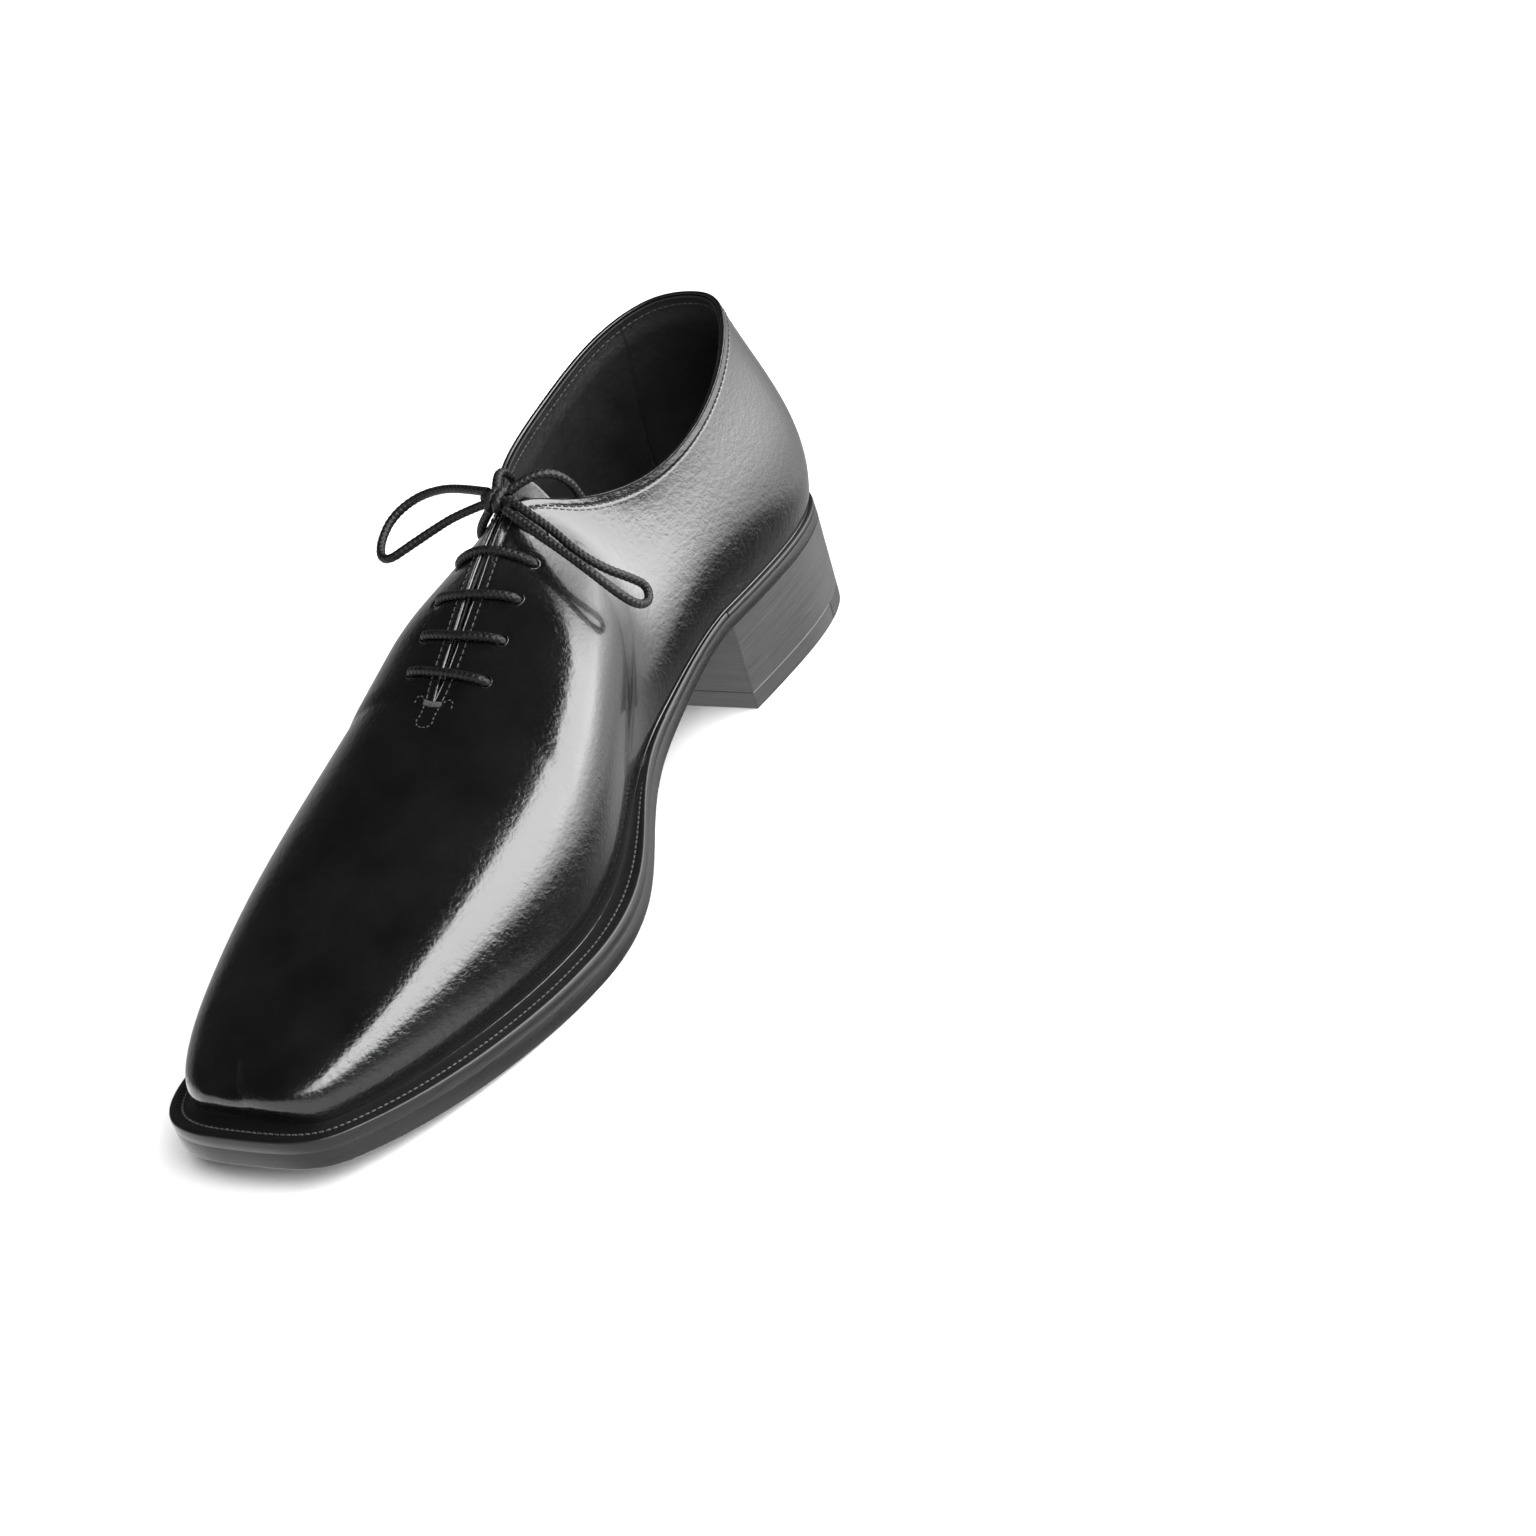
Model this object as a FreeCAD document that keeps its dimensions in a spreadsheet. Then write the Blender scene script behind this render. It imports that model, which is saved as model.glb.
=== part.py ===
"""Left leather oxford shoe, whole-cut upper on a welted leather sole with a stacked heel.

The shoe stands on z = 0 with its toe towards -Y and its lateral (outer) side towards +X.
Most curves are written as (s, x, z): s runs forward from the heel back, x is lateral, z is up.
"""
import FreeCAD, Part
import math
import os

Vector = FreeCAD.Vector
Rotation = FreeCAD.Rotation
Placement = FreeCAD.Placement

doc = FreeCAD.newDocument("oxford_shoe")
sheet = doc.addObject("Spreadsheet::Sheet", "sizes")

SIZES = [
    ("shoe_length", 304.0),
    ("centre_forward", 151.8),
    ("centre_side", 2.56),
    ("forepart_edge", 9.2),
    ("heel_edge", 5.6),
    ("outsole_forepart", 5.4),
    ("outsole_heel", 3.6),
    ("welt_cover", 4.0),
    ("rand_cover", 6.0),
    ("rand_gap", 0.3),
    ("heel_height", 29.5),
    ("heel_breast", 76.0),
    ("heel_taper", 1.8),
    ("top_piece_height", 6.0),
    ("lift_count", 4.0),
    ("tip_length", 27.0),
    ("tip_gap", 0.15),
    ("nail_radius", 0.9),
    ("nail_length", 11.0),
    ("nail_recess", 0.3),
    ("upper_leather", 1.4),
    ("stiffener", 0.8),
    ("lining_leather", 0.9),
    ("layer_gap", 0.05),
    ("insole_height", 3.0),
    ("sock_height", 1.0),
    ("sock_length", 92.0),
    ("sock_gap", 0.5),
    ("cork_gap", 0.2),
    ("shank_start", 60.0),
    ("shank_bed", 0.3),
    ("shank_length", 104.0),
    ("shank_width", 13.0),
    ("shank_height", 1.6),
    ("tongue_height", 1.8),
    ("eyelet_radius", 1.7),
    ("lace_radius", 1.35),
    ("knot_long", 5.2),
    ("knot_short", 3.6),
    ("tag_radius", 1.5),
    ("tag_length", 16.0),
    ("tack_length", 6.0),
    ("tack_radius", 0.7),
    ("tongue_rise", 11.5),
    ("tongue_fit", 0.3),
    ("prism_height", 90.0),
    ("prism_width", 140.0),
]
for index, (alias, value) in enumerate(SIZES, start=1):
    sheet.set("A%d" % index, alias)
    sheet.set("B%d" % index, str(value))
    sheet.setAlias("B%d" % index, alias)
doc.recompute()


def size(alias):
    """Value of one driving dimension, in millimetres."""
    return float(sheet.get(alias))


centre_forward = size("centre_forward")
centre_side = size("centre_side")
length = size("shoe_length")
heel_height = size("heel_height")
breast = size("heel_breast")
heel_edge = size("heel_edge")
forepart_edge = size("forepart_edge")

# Depth of each leather layer under the outer face.
gap = size("layer_gap")
upper_depth = size("upper_leather")
stiff_top = upper_depth + gap
stiff_base = stiff_top + size("stiffener")
lining_top = stiff_base + gap
lining_base = lining_top + size("lining_leather")


# ---------------------------------------------------------------- curves of the last and the sole

SOLE_LATERAL = [(2, 0), (4.5, 13), (12, 22.5), (28, 29), (50, 30.5), (78, 29), (105, 27.5),
                (125, 29), (148, 37.5), (172, 48.5), (195, 53), (218, 52), (242, 48),
                (268, 41), (290, 31.5), (299.5, 24), (303.5, 10), (304, -7)]
SOLE_MEDIAL = [(2, 0), (4.5, -13), (12, -23), (28, -30), (50, -31), (70, -29.5), (90, -27),
               (115, -26), (140, -29.5), (165, -37), (190, -45), (215, -48), (240, -47),
               (266, -44), (288, -37.5), (299, -28.5), (303.2, -18), (304, -7)]
TREAD_LINE = [(74, 29.5), (110, 20), (145, 10), (180, 2), (205, 0), (235, 0.6), (270, 3.6), (304, 8.5)]

# How far the upper's feather line stands inside the sole edge, from heel (0) to toe (1).
FEATHER_INSET = [(0, 1.2), (0.25, 1.2), (0.34, 1.5), (0.42, 2.5), (0.5, 5.2), (0.58, 7.2),
                 (0.66, 7.8), (1, 7.8)]

# Topline, then the slit's edge: (u, s, x, z). Both end where the slit closes.
TOP_LATERAL = [(0, 7.5, 0, 105), (0.06, 11, 12, 104.3), (0.13, 26, 22.5, 99.8), (0.21, 52, 27.5, 90.5),
               (0.29, 82, 22.5, 85.8), (0.36, 104, 10.5, 92.3), (0.41, 115.5, 2.4, 98),
               (0.47, 135, 1.8, 91.2), (0.54, 158, 1.7, 78.5), (0.57, 167.2, 1.4, 73.6),
               (0.585, 171.6, 1, 71.35), (0.6, 176, 0.3, 69.2)]
TOP_MEDIAL = [(0, 7.5, 0, 105), (0.06, 11, -13.2, 104.3), (0.13, 26, -25.3, 100.5),
              (0.21, 52, -30.5, 94.5), (0.29, 82, -27, 91.3), (0.36, 104, -13, 94.5),
              (0.41, 115.5, -3.2, 98), (0.47, 135, -1.7, 91.2), (0.54, 158, -1.3, 78.5),
              (0.57, 167.2, -0.9, 73.6), (0.585, 171.6, -0.4, 71.35), (0.6, 176, 0.3, 69.2)]
RIDGE = [(0.6, 176, 0.3, 69.2), (0.66, 195, -1, 62.2), (0.74, 222, -3.3, 54), (0.82, 248, -5.2, 45.2),
         (0.9, 272, -6.4, 36.6), (0.95, 281, -6.9, 33.2), (1, 287, -7, 30)]
SLIT_END = 0.6

# Direction of the topline round the heel, and of the slit's edge and the ridge where they meet.
HEEL_TOP_SLOPE = 215
SLIT_END_SLOPE = {1: (300, -50, -125), -1: (300, 50, -125)}
RIDGE_START_SLOPE = (300, -10, -125)

# Where along u the upper handles start to follow the slope of the slit and the ridge.
SLOPE_BLEND = (0.42, 0.54)
TOE_GATHER = 0.14

# Where the sole edge changes from its heel thickness to its forepart thickness.
WAIST_START, WAIST_END = 78, 150

# Shape of each cross line between feather line and top: lean of its lower end from upright, reach
# of its lower and upper handles, and how steeply its upper end falls, all by u.
LEAN_LATERAL = [(0, 20), (0.08, 21), (0.16, 19), (0.25, 16), (0.34, 12), (0.42, 9), (0.58, 10),
                (0.74, 10), (0.9, 6), (1, 5)]
LEAN_MEDIAL = [(0, 20), (0.08, 16), (0.16, 12.5), (0.25, 10), (0.34, 5), (0.42, 3), (0.5, 7),
               (0.58, 11), (0.74, 12), (0.9, 8), (1, 5)]
LOWER_REACH = [(0, 0.36), (0.16, 0.4), (0.34, 0.43), (0.42, 0.45), (0.5, 0.5), (0.58, 0.57),
               (0.66, 0.62), (0.74, 0.67), (0.9, 0.69), (1, 0.67)]
UPPER_REACH = [(0, 0.32), (0.16, 0.36), (0.25, 0.43), (0.34, 0.5), (0.42, 0.57), (0.5, 0.64),
               (0.66, 0.66), (0.82, 0.69), (1, 0.7)]
UPPER_FALL = [(0, 80), (0.16, 82), (0.25, 83), (0.34, 72), (0.42, 40), (0.5, 14), (0.58, 3.5),
              (0.66, 0), (0.74, 0), (0.82, 0), (1, 0)]


class Curve:
    """Cubic spline through rows of (knot, value, value...), natural where no end slope is given."""

    def __init__(self, rows, start=None, end=None):
        self.knots = [row[0] for row in rows]
        self.values = [row[1:] for row in rows]
        self.slopes = list(zip(*[self.solve(axis, start, end) for axis in range(len(rows[0]) - 1)]))

    def solve(self, axis, start, end):
        knots = self.knots
        value = [row[axis] for row in self.values]
        last = len(knots) - 1
        gap = [knots[i + 1] - knots[i] for i in range(last)]
        rise = [(value[i + 1] - value[i]) / gap[i] for i in range(last)]
        lower, middle, upper, right = [0.0], [2.0], [1.0], [3 * rise[0]]
        for i in range(1, last):
            lower.append(1 / gap[i - 1])
            middle.append(2 / gap[i - 1] + 2 / gap[i])
            upper.append(1 / gap[i])
            right.append(3 * (rise[i - 1] / gap[i - 1] + rise[i] / gap[i]))
        lower.append(1.0)
        middle.append(2.0)
        upper.append(0.0)
        right.append(3 * rise[-1])
        if start is not None:
            middle[0], upper[0], right[0] = 1.0, 0.0, start[axis]
        if end is not None:
            lower[-1], middle[-1], right[-1] = 0.0, 1.0, end[axis]
        for i in range(1, last + 1):
            share = lower[i] / middle[i - 1]
            middle[i] -= share * upper[i - 1]
            right[i] -= share * right[i - 1]
        slope = [0.0] * (last + 1)
        slope[last] = right[last] / middle[last]
        for i in range(last - 1, -1, -1):
            slope[i] = (right[i] - upper[i] * slope[i + 1]) / middle[i]
        return slope

    def __call__(self, knot, derivative=False):
        knots = self.knots
        i = max(j for j in range(len(knots) - 1) if j == 0 or knots[j] <= knot)
        gap = knots[i + 1] - knots[i]
        t = (knot - knots[i]) / gap
        if derivative:
            shares = (6 * t * t - 6 * t, 3 * t * t - 4 * t + 1, 6 * t - 6 * t * t, 3 * t * t - 2 * t)
            shares = (shares[0] / gap, shares[1], shares[2] / gap, shares[3])
        else:
            shares = (2 * t ** 3 - 3 * t * t + 1, (t ** 3 - 2 * t * t + t) * gap,
                      3 * t * t - 2 * t ** 3, (t ** 3 - t * t) * gap)
        parts = zip(self.values[i], self.slopes[i], self.values[i + 1], self.slopes[i + 1])
        return [sum(share * part for share, part in zip(shares, four)) for four in parts]


def ease(value, low, high):
    """0 below low and 1 above high, with a smooth change between."""
    share = min(max((value - low) / (high - low), 0.0), 1.0)
    return share * share * (3 - 2 * share)


def edge_curve(points, side):
    """Half of the sole's outline, heel to toe, square to the centre line at both ends."""
    lengths = [0.0]
    for first, second in zip(points, points[1:]):
        lengths.append(lengths[-1] + math.dist(first, second))
    total = lengths[-1]
    rows = [(length / total,) + point for length, point in zip(lengths, points)]
    return Curve(rows, start=(0, side * total), end=(0, -side * total))


LATERAL, MEDIAL = 1, -1
EDGE = {LATERAL: edge_curve(SOLE_LATERAL, LATERAL), MEDIAL: edge_curve(SOLE_MEDIAL, MEDIAL)}
TOP = {LATERAL: Curve(TOP_LATERAL, (0, HEEL_TOP_SLOPE, 0), SLIT_END_SLOPE[LATERAL]),
       MEDIAL: Curve(TOP_MEDIAL, (0, -HEEL_TOP_SLOPE, 0), SLIT_END_SLOPE[MEDIAL])}
RIDGE_LINE = Curve(RIDGE, start=RIDGE_START_SLOPE)
TREAD = Curve(TREAD_LINE, start=(0,))
INSET = Curve(FEATHER_INSET)
LEAN = {LATERAL: Curve(LEAN_LATERAL), MEDIAL: Curve(LEAN_MEDIAL)}
LOWER = Curve(LOWER_REACH)
UPPER = Curve(UPPER_REACH)
FALL = Curve(UPPER_FALL, start=(0,), end=(0,))


def tread_height(s):
    """Underside of the outsole: flat over the heel, then down to the tread and up to the toe."""
    return heel_height if s <= TREAD_LINE[0][0] else TREAD(s)[0]


def thickness_of(heel, forepart):
    """Thickness along the sole, from the heel's value to the forepart's."""
    return lambda s: heel + (forepart - heel) * ease(s, WAIST_START, WAIST_END)


edge_height = thickness_of(heel_edge, forepart_edge)
outsole_height = thickness_of(size("outsole_heel"), size("outsole_forepart"))


def place(s, x, z):
    """Point of the shoe in its own frame."""
    return Vector(x - centre_side, centre_forward - s, z)


def sole_point(side, u, inset=0.0):
    """Plan position (s, x) on the sole's outline, moved inwards by inset, with its outward normal."""
    s, x = EDGE[side](u)
    ds, dx = EDGE[side](u, True)
    length = math.hypot(ds, dx)
    normal = (-side * dx / length, side * ds / length)
    return s - inset * normal[0], x - inset * normal[1], normal


def ridge_reach(u):
    """Place on the ridge for each cross line: slowing to a stop at the toe, so that the two sides meet smoothly."""
    left = (1 - u) / TOE_GATHER
    return 1 - TOE_GATHER * left * left * (2 - left) if left < 1 else u


def top_point(side, u, derivative=False):
    """Topline, slit edge or ridge point (s, x, z)."""
    return TOP[side](u, derivative) if u < SLIT_END else RIDGE_LINE(ridge_reach(u), derivative)


def cross_line(side, u):
    """Four control points of the cross line at u, as vectors."""
    s, x, normal = sole_point(side, u, INSET(u)[0])
    foot = Vector(x, s, tread_height(s) + edge_height(s))
    ts, tx, tz = top_point(side, u)
    head = Vector(tx, ts, tz)
    outward = Vector(normal[1], normal[0], 0)
    lean = math.radians(LEAN[side](u)[0])
    fall = math.radians(FALL(u)[0])
    rise = outward * math.sin(lean) + Vector(0, 0, math.cos(lean))
    blend = ease(u, *SLOPE_BLEND)
    run = top_point(side, u, True)
    slope = run[2] / run[0] * blend if blend else 0.0
    sink = Vector(0, 0, slope * normal[0] * math.cos(fall) - math.sin(fall))
    lower = foot + rise * (LOWER(u)[0] * (tz - foot.z))
    upper = head + (outward * math.cos(fall) + sink) * (UPPER(u)[0] * (head - foot).Length)
    return foot, lower, upper, head


def on_line(line, v):
    """Point of a cubic line at v, 0 at the feather line and 1 at the top."""
    a, b, c, d = line
    w = 1 - v
    return a * w ** 3 + b * (3 * w * w * v) + c * (3 * w * v * v) + d * v ** 3


lines = {}


def skin(side, u, v):
    """Point of the upper's outer face, as (x, s, z)."""
    if u < 0:
        side, u = -side, -u
    key = (side, round(u, 6))
    if key not in lines:
        lines[key] = cross_line(side, u)
    return on_line(lines[key], v)


def skin_normal(side, u, v):
    """Outward normal of the outer face. Both sides share it along the ridge and at the toe."""
    if v > 0.999 and u >= SLIT_END:
        ds, dx, dz = RIDGE_LINE(ridge_reach(u), True)
        normal = Vector(dx, ds, dz).cross(Vector(1, 0, 0))
        normal.normalize()
        return normal if normal.z > 0 else -normal
    step_u, step_v = 0.003, 0.02
    ahead = skin(side, min(u + step_u, 1.0), v) - skin(side, u - step_u, v)
    above = skin(side, u, min(v + step_v, 1.0)) - skin(side, u, max(v - step_v, 0.0))
    normal = ahead.cross(above) * side
    normal.normalize()
    if u > 0.999 and side == LATERAL:
        return (normal + skin_normal(MEDIAL, u, v)).normalize()
    return normal


def layer_point(side, u, v, depth):
    """Point a given depth inside the outer face, in the shoe's frame."""
    normal = skin_normal(LATERAL if u > 0.999 else side, u, v)
    point = skin(side, u, v) - normal * depth
    return place(point.y, point.x, point.z)


# ---------------------------------------------------------------- leather layers of the upper

pieces = []


def keep(piece, label):
    """Name a finished sub-part and put it on the list of files."""
    piece.Label = label
    pieces.append(piece)
    return piece


def feature(label, shape):
    """Document object for a free-form piece."""
    piece = doc.addObject("Part::Feature", label)
    piece.Shape = shape
    piece.Placement = Placement(Vector(0, 0, 0), Rotation())
    return keep(piece, label)


def steps(low, high, count):
    """Evenly spaced values from low to high."""
    return [low + (high - low) * i / count for i in range(count + 1)]


def span(knots, points):
    """Poles and multiplicities of a cubic curve through points, with double knots inside."""
    curve = Curve([(knot, point.x, point.y, point.z) for knot, point in zip(knots, points)])
    slopes = [Vector(*slope) for slope in curve.slopes]
    poles = [points[0]]
    for i in range(len(knots) - 1):
        third = (knots[i + 1] - knots[i]) / 3
        poles += [points[i] + slopes[i] * third, points[i + 1] - slopes[i + 1] * third]
    return poles + [points[-1]]


def surface(grid, row_knots, column_knots):
    """Smooth surface through a grid of points. Surfaces that share a boundary row match exactly."""
    by_row = [span(column_knots, row) for row in grid]
    by_column = [span(row_knots, column) for column in zip(*by_row)]
    poles = [list(row) for row in zip(*by_column)]
    face = Part.BSplineSurface()
    row_mults = [4] + [2] * (len(row_knots) - 2) + [4]
    column_mults = [4] + [2] * (len(column_knots) - 2) + [4]
    face.buildFromPolesMultsKnots(poles, row_mults, column_mults, row_knots, column_knots,
                                  False, False, 3, 3)
    return face


def solid_from(faces, tolerance=0.01):
    """Closed solid sewn from its faces."""
    sewn = Part.Compound(faces)
    sewn.sewShape(tolerance)
    solid = Part.Solid(sewn.Shells[0])
    if solid.Volume < 0:
        solid.reverse()
    return solid


def leather(segments, low, high, outer_depth, inner_depth, joined=(), closed=False, columns=12):
    """Solid between two depths under the outer face.

    segments lists rows of (side, u), each segment starting on the last row of the one before. low and
    high are the v limits. joined lists the segments whose upper edge meets the same edge of another
    segment, and closed joins the last row to the first.
    """
    faces = []
    last = len(segments) - 1
    column_knots = [j / columns for j in range(columns + 1)]
    for number, rows in enumerate(segments):
        rows = sorted(rows, key=lambda row: row[0] * row[1])
        row_knots = [side * u for side, u in rows]
        sheets = []
        for depth in (outer_depth, inner_depth):
            grid = []
            for side, u in rows:
                a = low(u) if callable(low) else low
                b = high(u) if callable(high) else high
                grid.append([layer_point(side, u, a + (b - a) * knot, depth) for knot in column_knots])
            sheets.append(surface(grid, row_knots, column_knots))
        faces += [sheet_face.toShape() for sheet_face in sheets]
        rims = [("bottom", True), ("top", number not in joined),
                ("first", number == 0 and not closed), ("last", number == last and not closed)]
        for name, wanted in rims:
            if wanted:
                edges = [boundary(sheet_face, name) for sheet_face in sheets]
                faces.append(Part.makeRuledSurface(*edges))
    return solid_from(faces)


def boundary(face, name):
    """One edge of a surface by its name."""
    first, last, low, high = face.bounds()
    iso = {"bottom": lambda: face.vIso(low), "top": lambda: face.vIso(high),
           "first": lambda: face.uIso(first), "last": lambda: face.uIso(last)}[name]()
    return iso.toShape()


SLIT_ROWS = [0.34, 0.36, 0.38, 0.395, 0.41, 0.43, 0.45, 0.47, 0.495, 0.52, 0.545, 0.565, 0.58, 0.59, 0.596, 0.6]
FRONT_ROWS = [0.61, 0.63, 0.66, 0.69, 0.72, 0.75, 0.78, 0.81, 0.84, 0.87, 0.9, 0.925, 0.945, 0.96, 0.975, 0.99, 1]
BACK_ROWS = [0, 0.02, 0.04, 0.06, 0.08, 0.105, 0.13, 0.16, 0.19, 0.22, 0.25, 0.28, 0.31]


def rows_between(side, low, high):
    """Rows from u = low to u = high on one side."""
    inner = [u for u in BACK_ROWS + SLIT_ROWS + FRONT_ROWS if low + 0.004 < u < high - 0.004]
    return [(side, u) for u in [low] + inner + [high]]


def round_heel(reach):
    """One run of rows round the heel, medial to lateral."""
    return rows_between(MEDIAL, 0, reach)[::-1] + rows_between(LATERAL, 0, reach)[1:]


def round_toe(start):
    """Lateral and medial runs of rows that meet at the toe."""
    return [rows_between(LATERAL, start, 1), rows_between(MEDIAL, start, 1)[::-1]]


# Eyelets from the throat towards the toe: (u, v).
EYELETS = {LATERAL: [(0.43, 0.905), (0.466, 0.9), (0.505, 0.9), (0.541, 0.9), (0.575, 0.9)],
           MEDIAL: [(0.43, 0.905), (0.466, 0.9), (0.505, 0.9), (0.541, 0.9), (0.575, 0.9)]}


def eyelet_places():
    """(side, u, v) of each eyelet, from the throat down the slit."""
    return [(side, u, v) for side in (LATERAL, MEDIAL) for u, v in EYELETS[side]]


def flip(normal):
    """Direction in the shoe's frame, from one in working coordinates."""
    return Vector(normal.x, -normal.y, normal.z)


def eyelet_axis(side, u, v):
    """Point on the outer face and outward direction, in the shoe's frame."""
    return layer_point(side, u, v, 0), flip(skin_normal(side, u, v))


DRILL_LENGTH, DRILL_INSIDE = 12, 7


def punch(shape):
    """Cut the eyelet holes through one layer."""
    drills = []
    for side, u, v in eyelet_places():
        point, axis = eyelet_axis(side, u, v)
        drills.append(Part.makeCylinder(size("eyelet_radius"), DRILL_LENGTH, point - axis * DRILL_INSIDE, axis))
    return shape.cut(Part.Compound(drills))


# ---------------------------------------------------------------- sole unit


def half_outline(side, inset, low=0.0, high=1.0, count=40):
    """Points of half an outline, heel to toe, inset by a fixed amount or a function of u."""
    points = []
    for u in steps(low, high, count):
        s, x, normal = sole_point(side, u, inset(u) if callable(inset) else inset)
        points.append(place(s, x, 0))
    return points


def smooth(points):
    """Curve through points."""
    curve = Part.BSplineCurve()
    curve.interpolate(points)
    return curve


def outline_prism(name, inset):
    """Upright prism of a whole sole outline."""
    sketch = doc.addObject("Sketcher::SketchObject", name + "_outline")
    sketch.addGeometry([smooth(half_outline(side, inset)) for side in (LATERAL, MEDIAL)], False)
    return extrude(sketch, name + "_prism", "prism_height", False)


def extrude(sketch, name, alias, symmetric):
    """Solid drawn out from a sketch by one of the driving dimensions."""
    body = doc.addObject("Part::Extrusion", name)
    body.Base = sketch
    body.DirMode = "Normal"
    body.Solid = True
    body.Symmetric = symmetric
    body.setExpression("LengthFwd", "sizes." + alias)
    return body


def side_band(name, lower, upper, low, high, alias="prism_width"):
    """Slab between two heights that vary along the shoe."""
    count = max(4, int((high - low) / 7))
    stations = steps(low, high, count)
    under = [Vector(centre_forward - s, lower(s), 0) for s in stations]
    over = [Vector(centre_forward - s, upper(s), 0) for s in stations]
    sketch = doc.addObject("Sketcher::SketchObject", name + "_side")
    sketch.Placement = Placement(Vector(0, 0, 0), Rotation(Vector(1, 1, 1), 120))
    sketch.addGeometry([smooth(under), smooth(over), Part.LineSegment(under[0], over[0]),
                        Part.LineSegment(under[-1], over[-1])], False)
    return extrude(sketch, name + "_band", alias, True)


def combine(kind, name, base, tool):
    """Part boolean of two document objects."""
    result = doc.addObject("Part::" + kind, name)
    result.Base = base
    result.Tool = tool
    return result


def feather(extra=0.0):
    """Inset of the upper's feather line, and further in by extra."""
    return lambda u: INSET(u)[0] + extra


def over_tread(extra):
    """Height above the tread line, where extra is a number or a function of s."""
    return lambda s: tread_height(s) + (extra(s) if callable(extra) else extra)


insole_inset = lining_base + 0.4
PAST_ENDS = (-3, length + 2)


def make_sole():
    """Outsole, welt, heel rand, cork filler, shank, insole and sock."""
    whole = outline_prism("sole", 0.0)
    outsole_side = side_band("outsole", over_tread(0.0), over_tread(outsole_height), *PAST_ENDS)
    keep(combine("Common", "outsole", whole, outsole_side), "outsole")

    for name, cover, low, high in (("welt", "welt_cover", breast + size("rand_gap"), PAST_ENDS[1]),
                                   ("heel_rand", "rand_cover", PAST_ENDS[0], breast)):
        inner = outline_prism(name + "_inner", feather(size(cover)))
        band = side_band(name, over_tread(outsole_height), over_tread(edge_height), low, high)
        ring = combine("Cut", name + "_ring", whole, inner)
        keep(combine("Common", name, ring, band), name)

    shank_base = over_tread(lambda s: outsole_height(s) + size("shank_bed"))
    shank = side_band("shank", shank_base, lambda s: shank_base(s) + size("shank_height"),
                      size("shank_start"), size("shank_start") + size("shank_length"), "shank_width")
    shank.setExpression("Placement.Base.x", "-sizes.centre_side")
    keep(shank, "shank")

    core = outline_prism("cork", feather(size("rand_cover") + size("cork_gap")))
    filling = combine("Common", "cork_block", core,
                      side_band("cork", over_tread(outsole_height), over_tread(edge_height), *PAST_ENDS))
    keep(combine("Cut", "cork_filler", filling, shank), "cork_filler")

    insole_base = over_tread(lambda s: edge_height(s) + gap)
    sock_base = lambda s: insole_base(s) + size("insole_height") + gap
    plan = outline_prism("insole", feather(insole_inset))
    board = side_band("insole", insole_base, lambda s: insole_base(s) + size("insole_height"), *PAST_ENDS)
    keep(combine("Common", "insole", plan, board), "insole")
    sock_plan = outline_prism("sock", feather(insole_inset + size("sock_gap")))
    sock = side_band("sock", sock_base, lambda s: sock_base(s) + size("sock_height"),
                     PAST_ENDS[0], size("sock_length"))
    keep(combine("Common", "sock_lining", sock_plan, sock), "sock_lining")


# ---------------------------------------------------------------- stacked heel


def reach_u(side, s):
    """Place on the outline where it passes a given distance from the heel back."""
    low, high = 0.0, 0.6
    for _ in range(40):
        middle = (low + high) / 2
        low, high = (middle, high) if EDGE[side](middle)[0] < s else (low, middle)
    return low


def heel_sketch(body, name, height):
    """D-shaped section of the heel at one height, attached to the body's own base plane."""
    sketch = body.newObject("Sketcher::SketchObject", name)
    plane = next(item for item in body.Origin.OriginFeatures if item.Role == "XY_Plane")
    sketch.AttachmentSupport = [(plane, "")]
    sketch.MapMode = "FlatFace"
    sketch.AttachmentOffset = Placement(Vector(0, 0, height), Rotation())
    inset = size("heel_taper") * (1 - height / heel_height)
    ends = []
    for side in (LATERAL, MEDIAL):
        points = half_outline(side, inset, 0.0, reach_u(side, breast), 16)
        points[-1].y = centre_forward - breast
        sketch.addGeometry(smooth(points), False)
        ends.append(points[-1])
    sketch.addGeometry(Part.LineSegment(*ends), False)
    return sketch


def heel_block(name, low, high):
    """One layer of the heel, lofted between its two sections."""
    body = doc.addObject("PartDesign::Body", name + "_block")
    base = heel_sketch(body, name + "_base", low)
    top = heel_sketch(body, name + "_top", high)
    loft = body.newObject("PartDesign::AdditiveLoft", name + "_loft")
    loft.Profile = base
    loft.Sections = [top]
    doc.recompute()
    return body


def half_space(name, low, high):
    """Box across the heel between two distances from the heel back."""
    box = doc.addObject("Part::Box", name)
    box.setExpression("Length", "sizes.prism_width")
    box.setExpression("Height", "sizes.heel_height")
    box.Width = high - low
    box.Placement = Placement(Vector(-size("prism_width") / 2, centre_forward - high, -1), Rotation())
    return box


NAIL_PLACES = [(-0.075, 7), (-0.045, 7), (-0.015, 7), (0.015, 7), (0.045, 7), (0.075, 7),
               (0.15, 8), (-0.15, 8), (0.2, 8), (-0.2, 8)]


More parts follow.
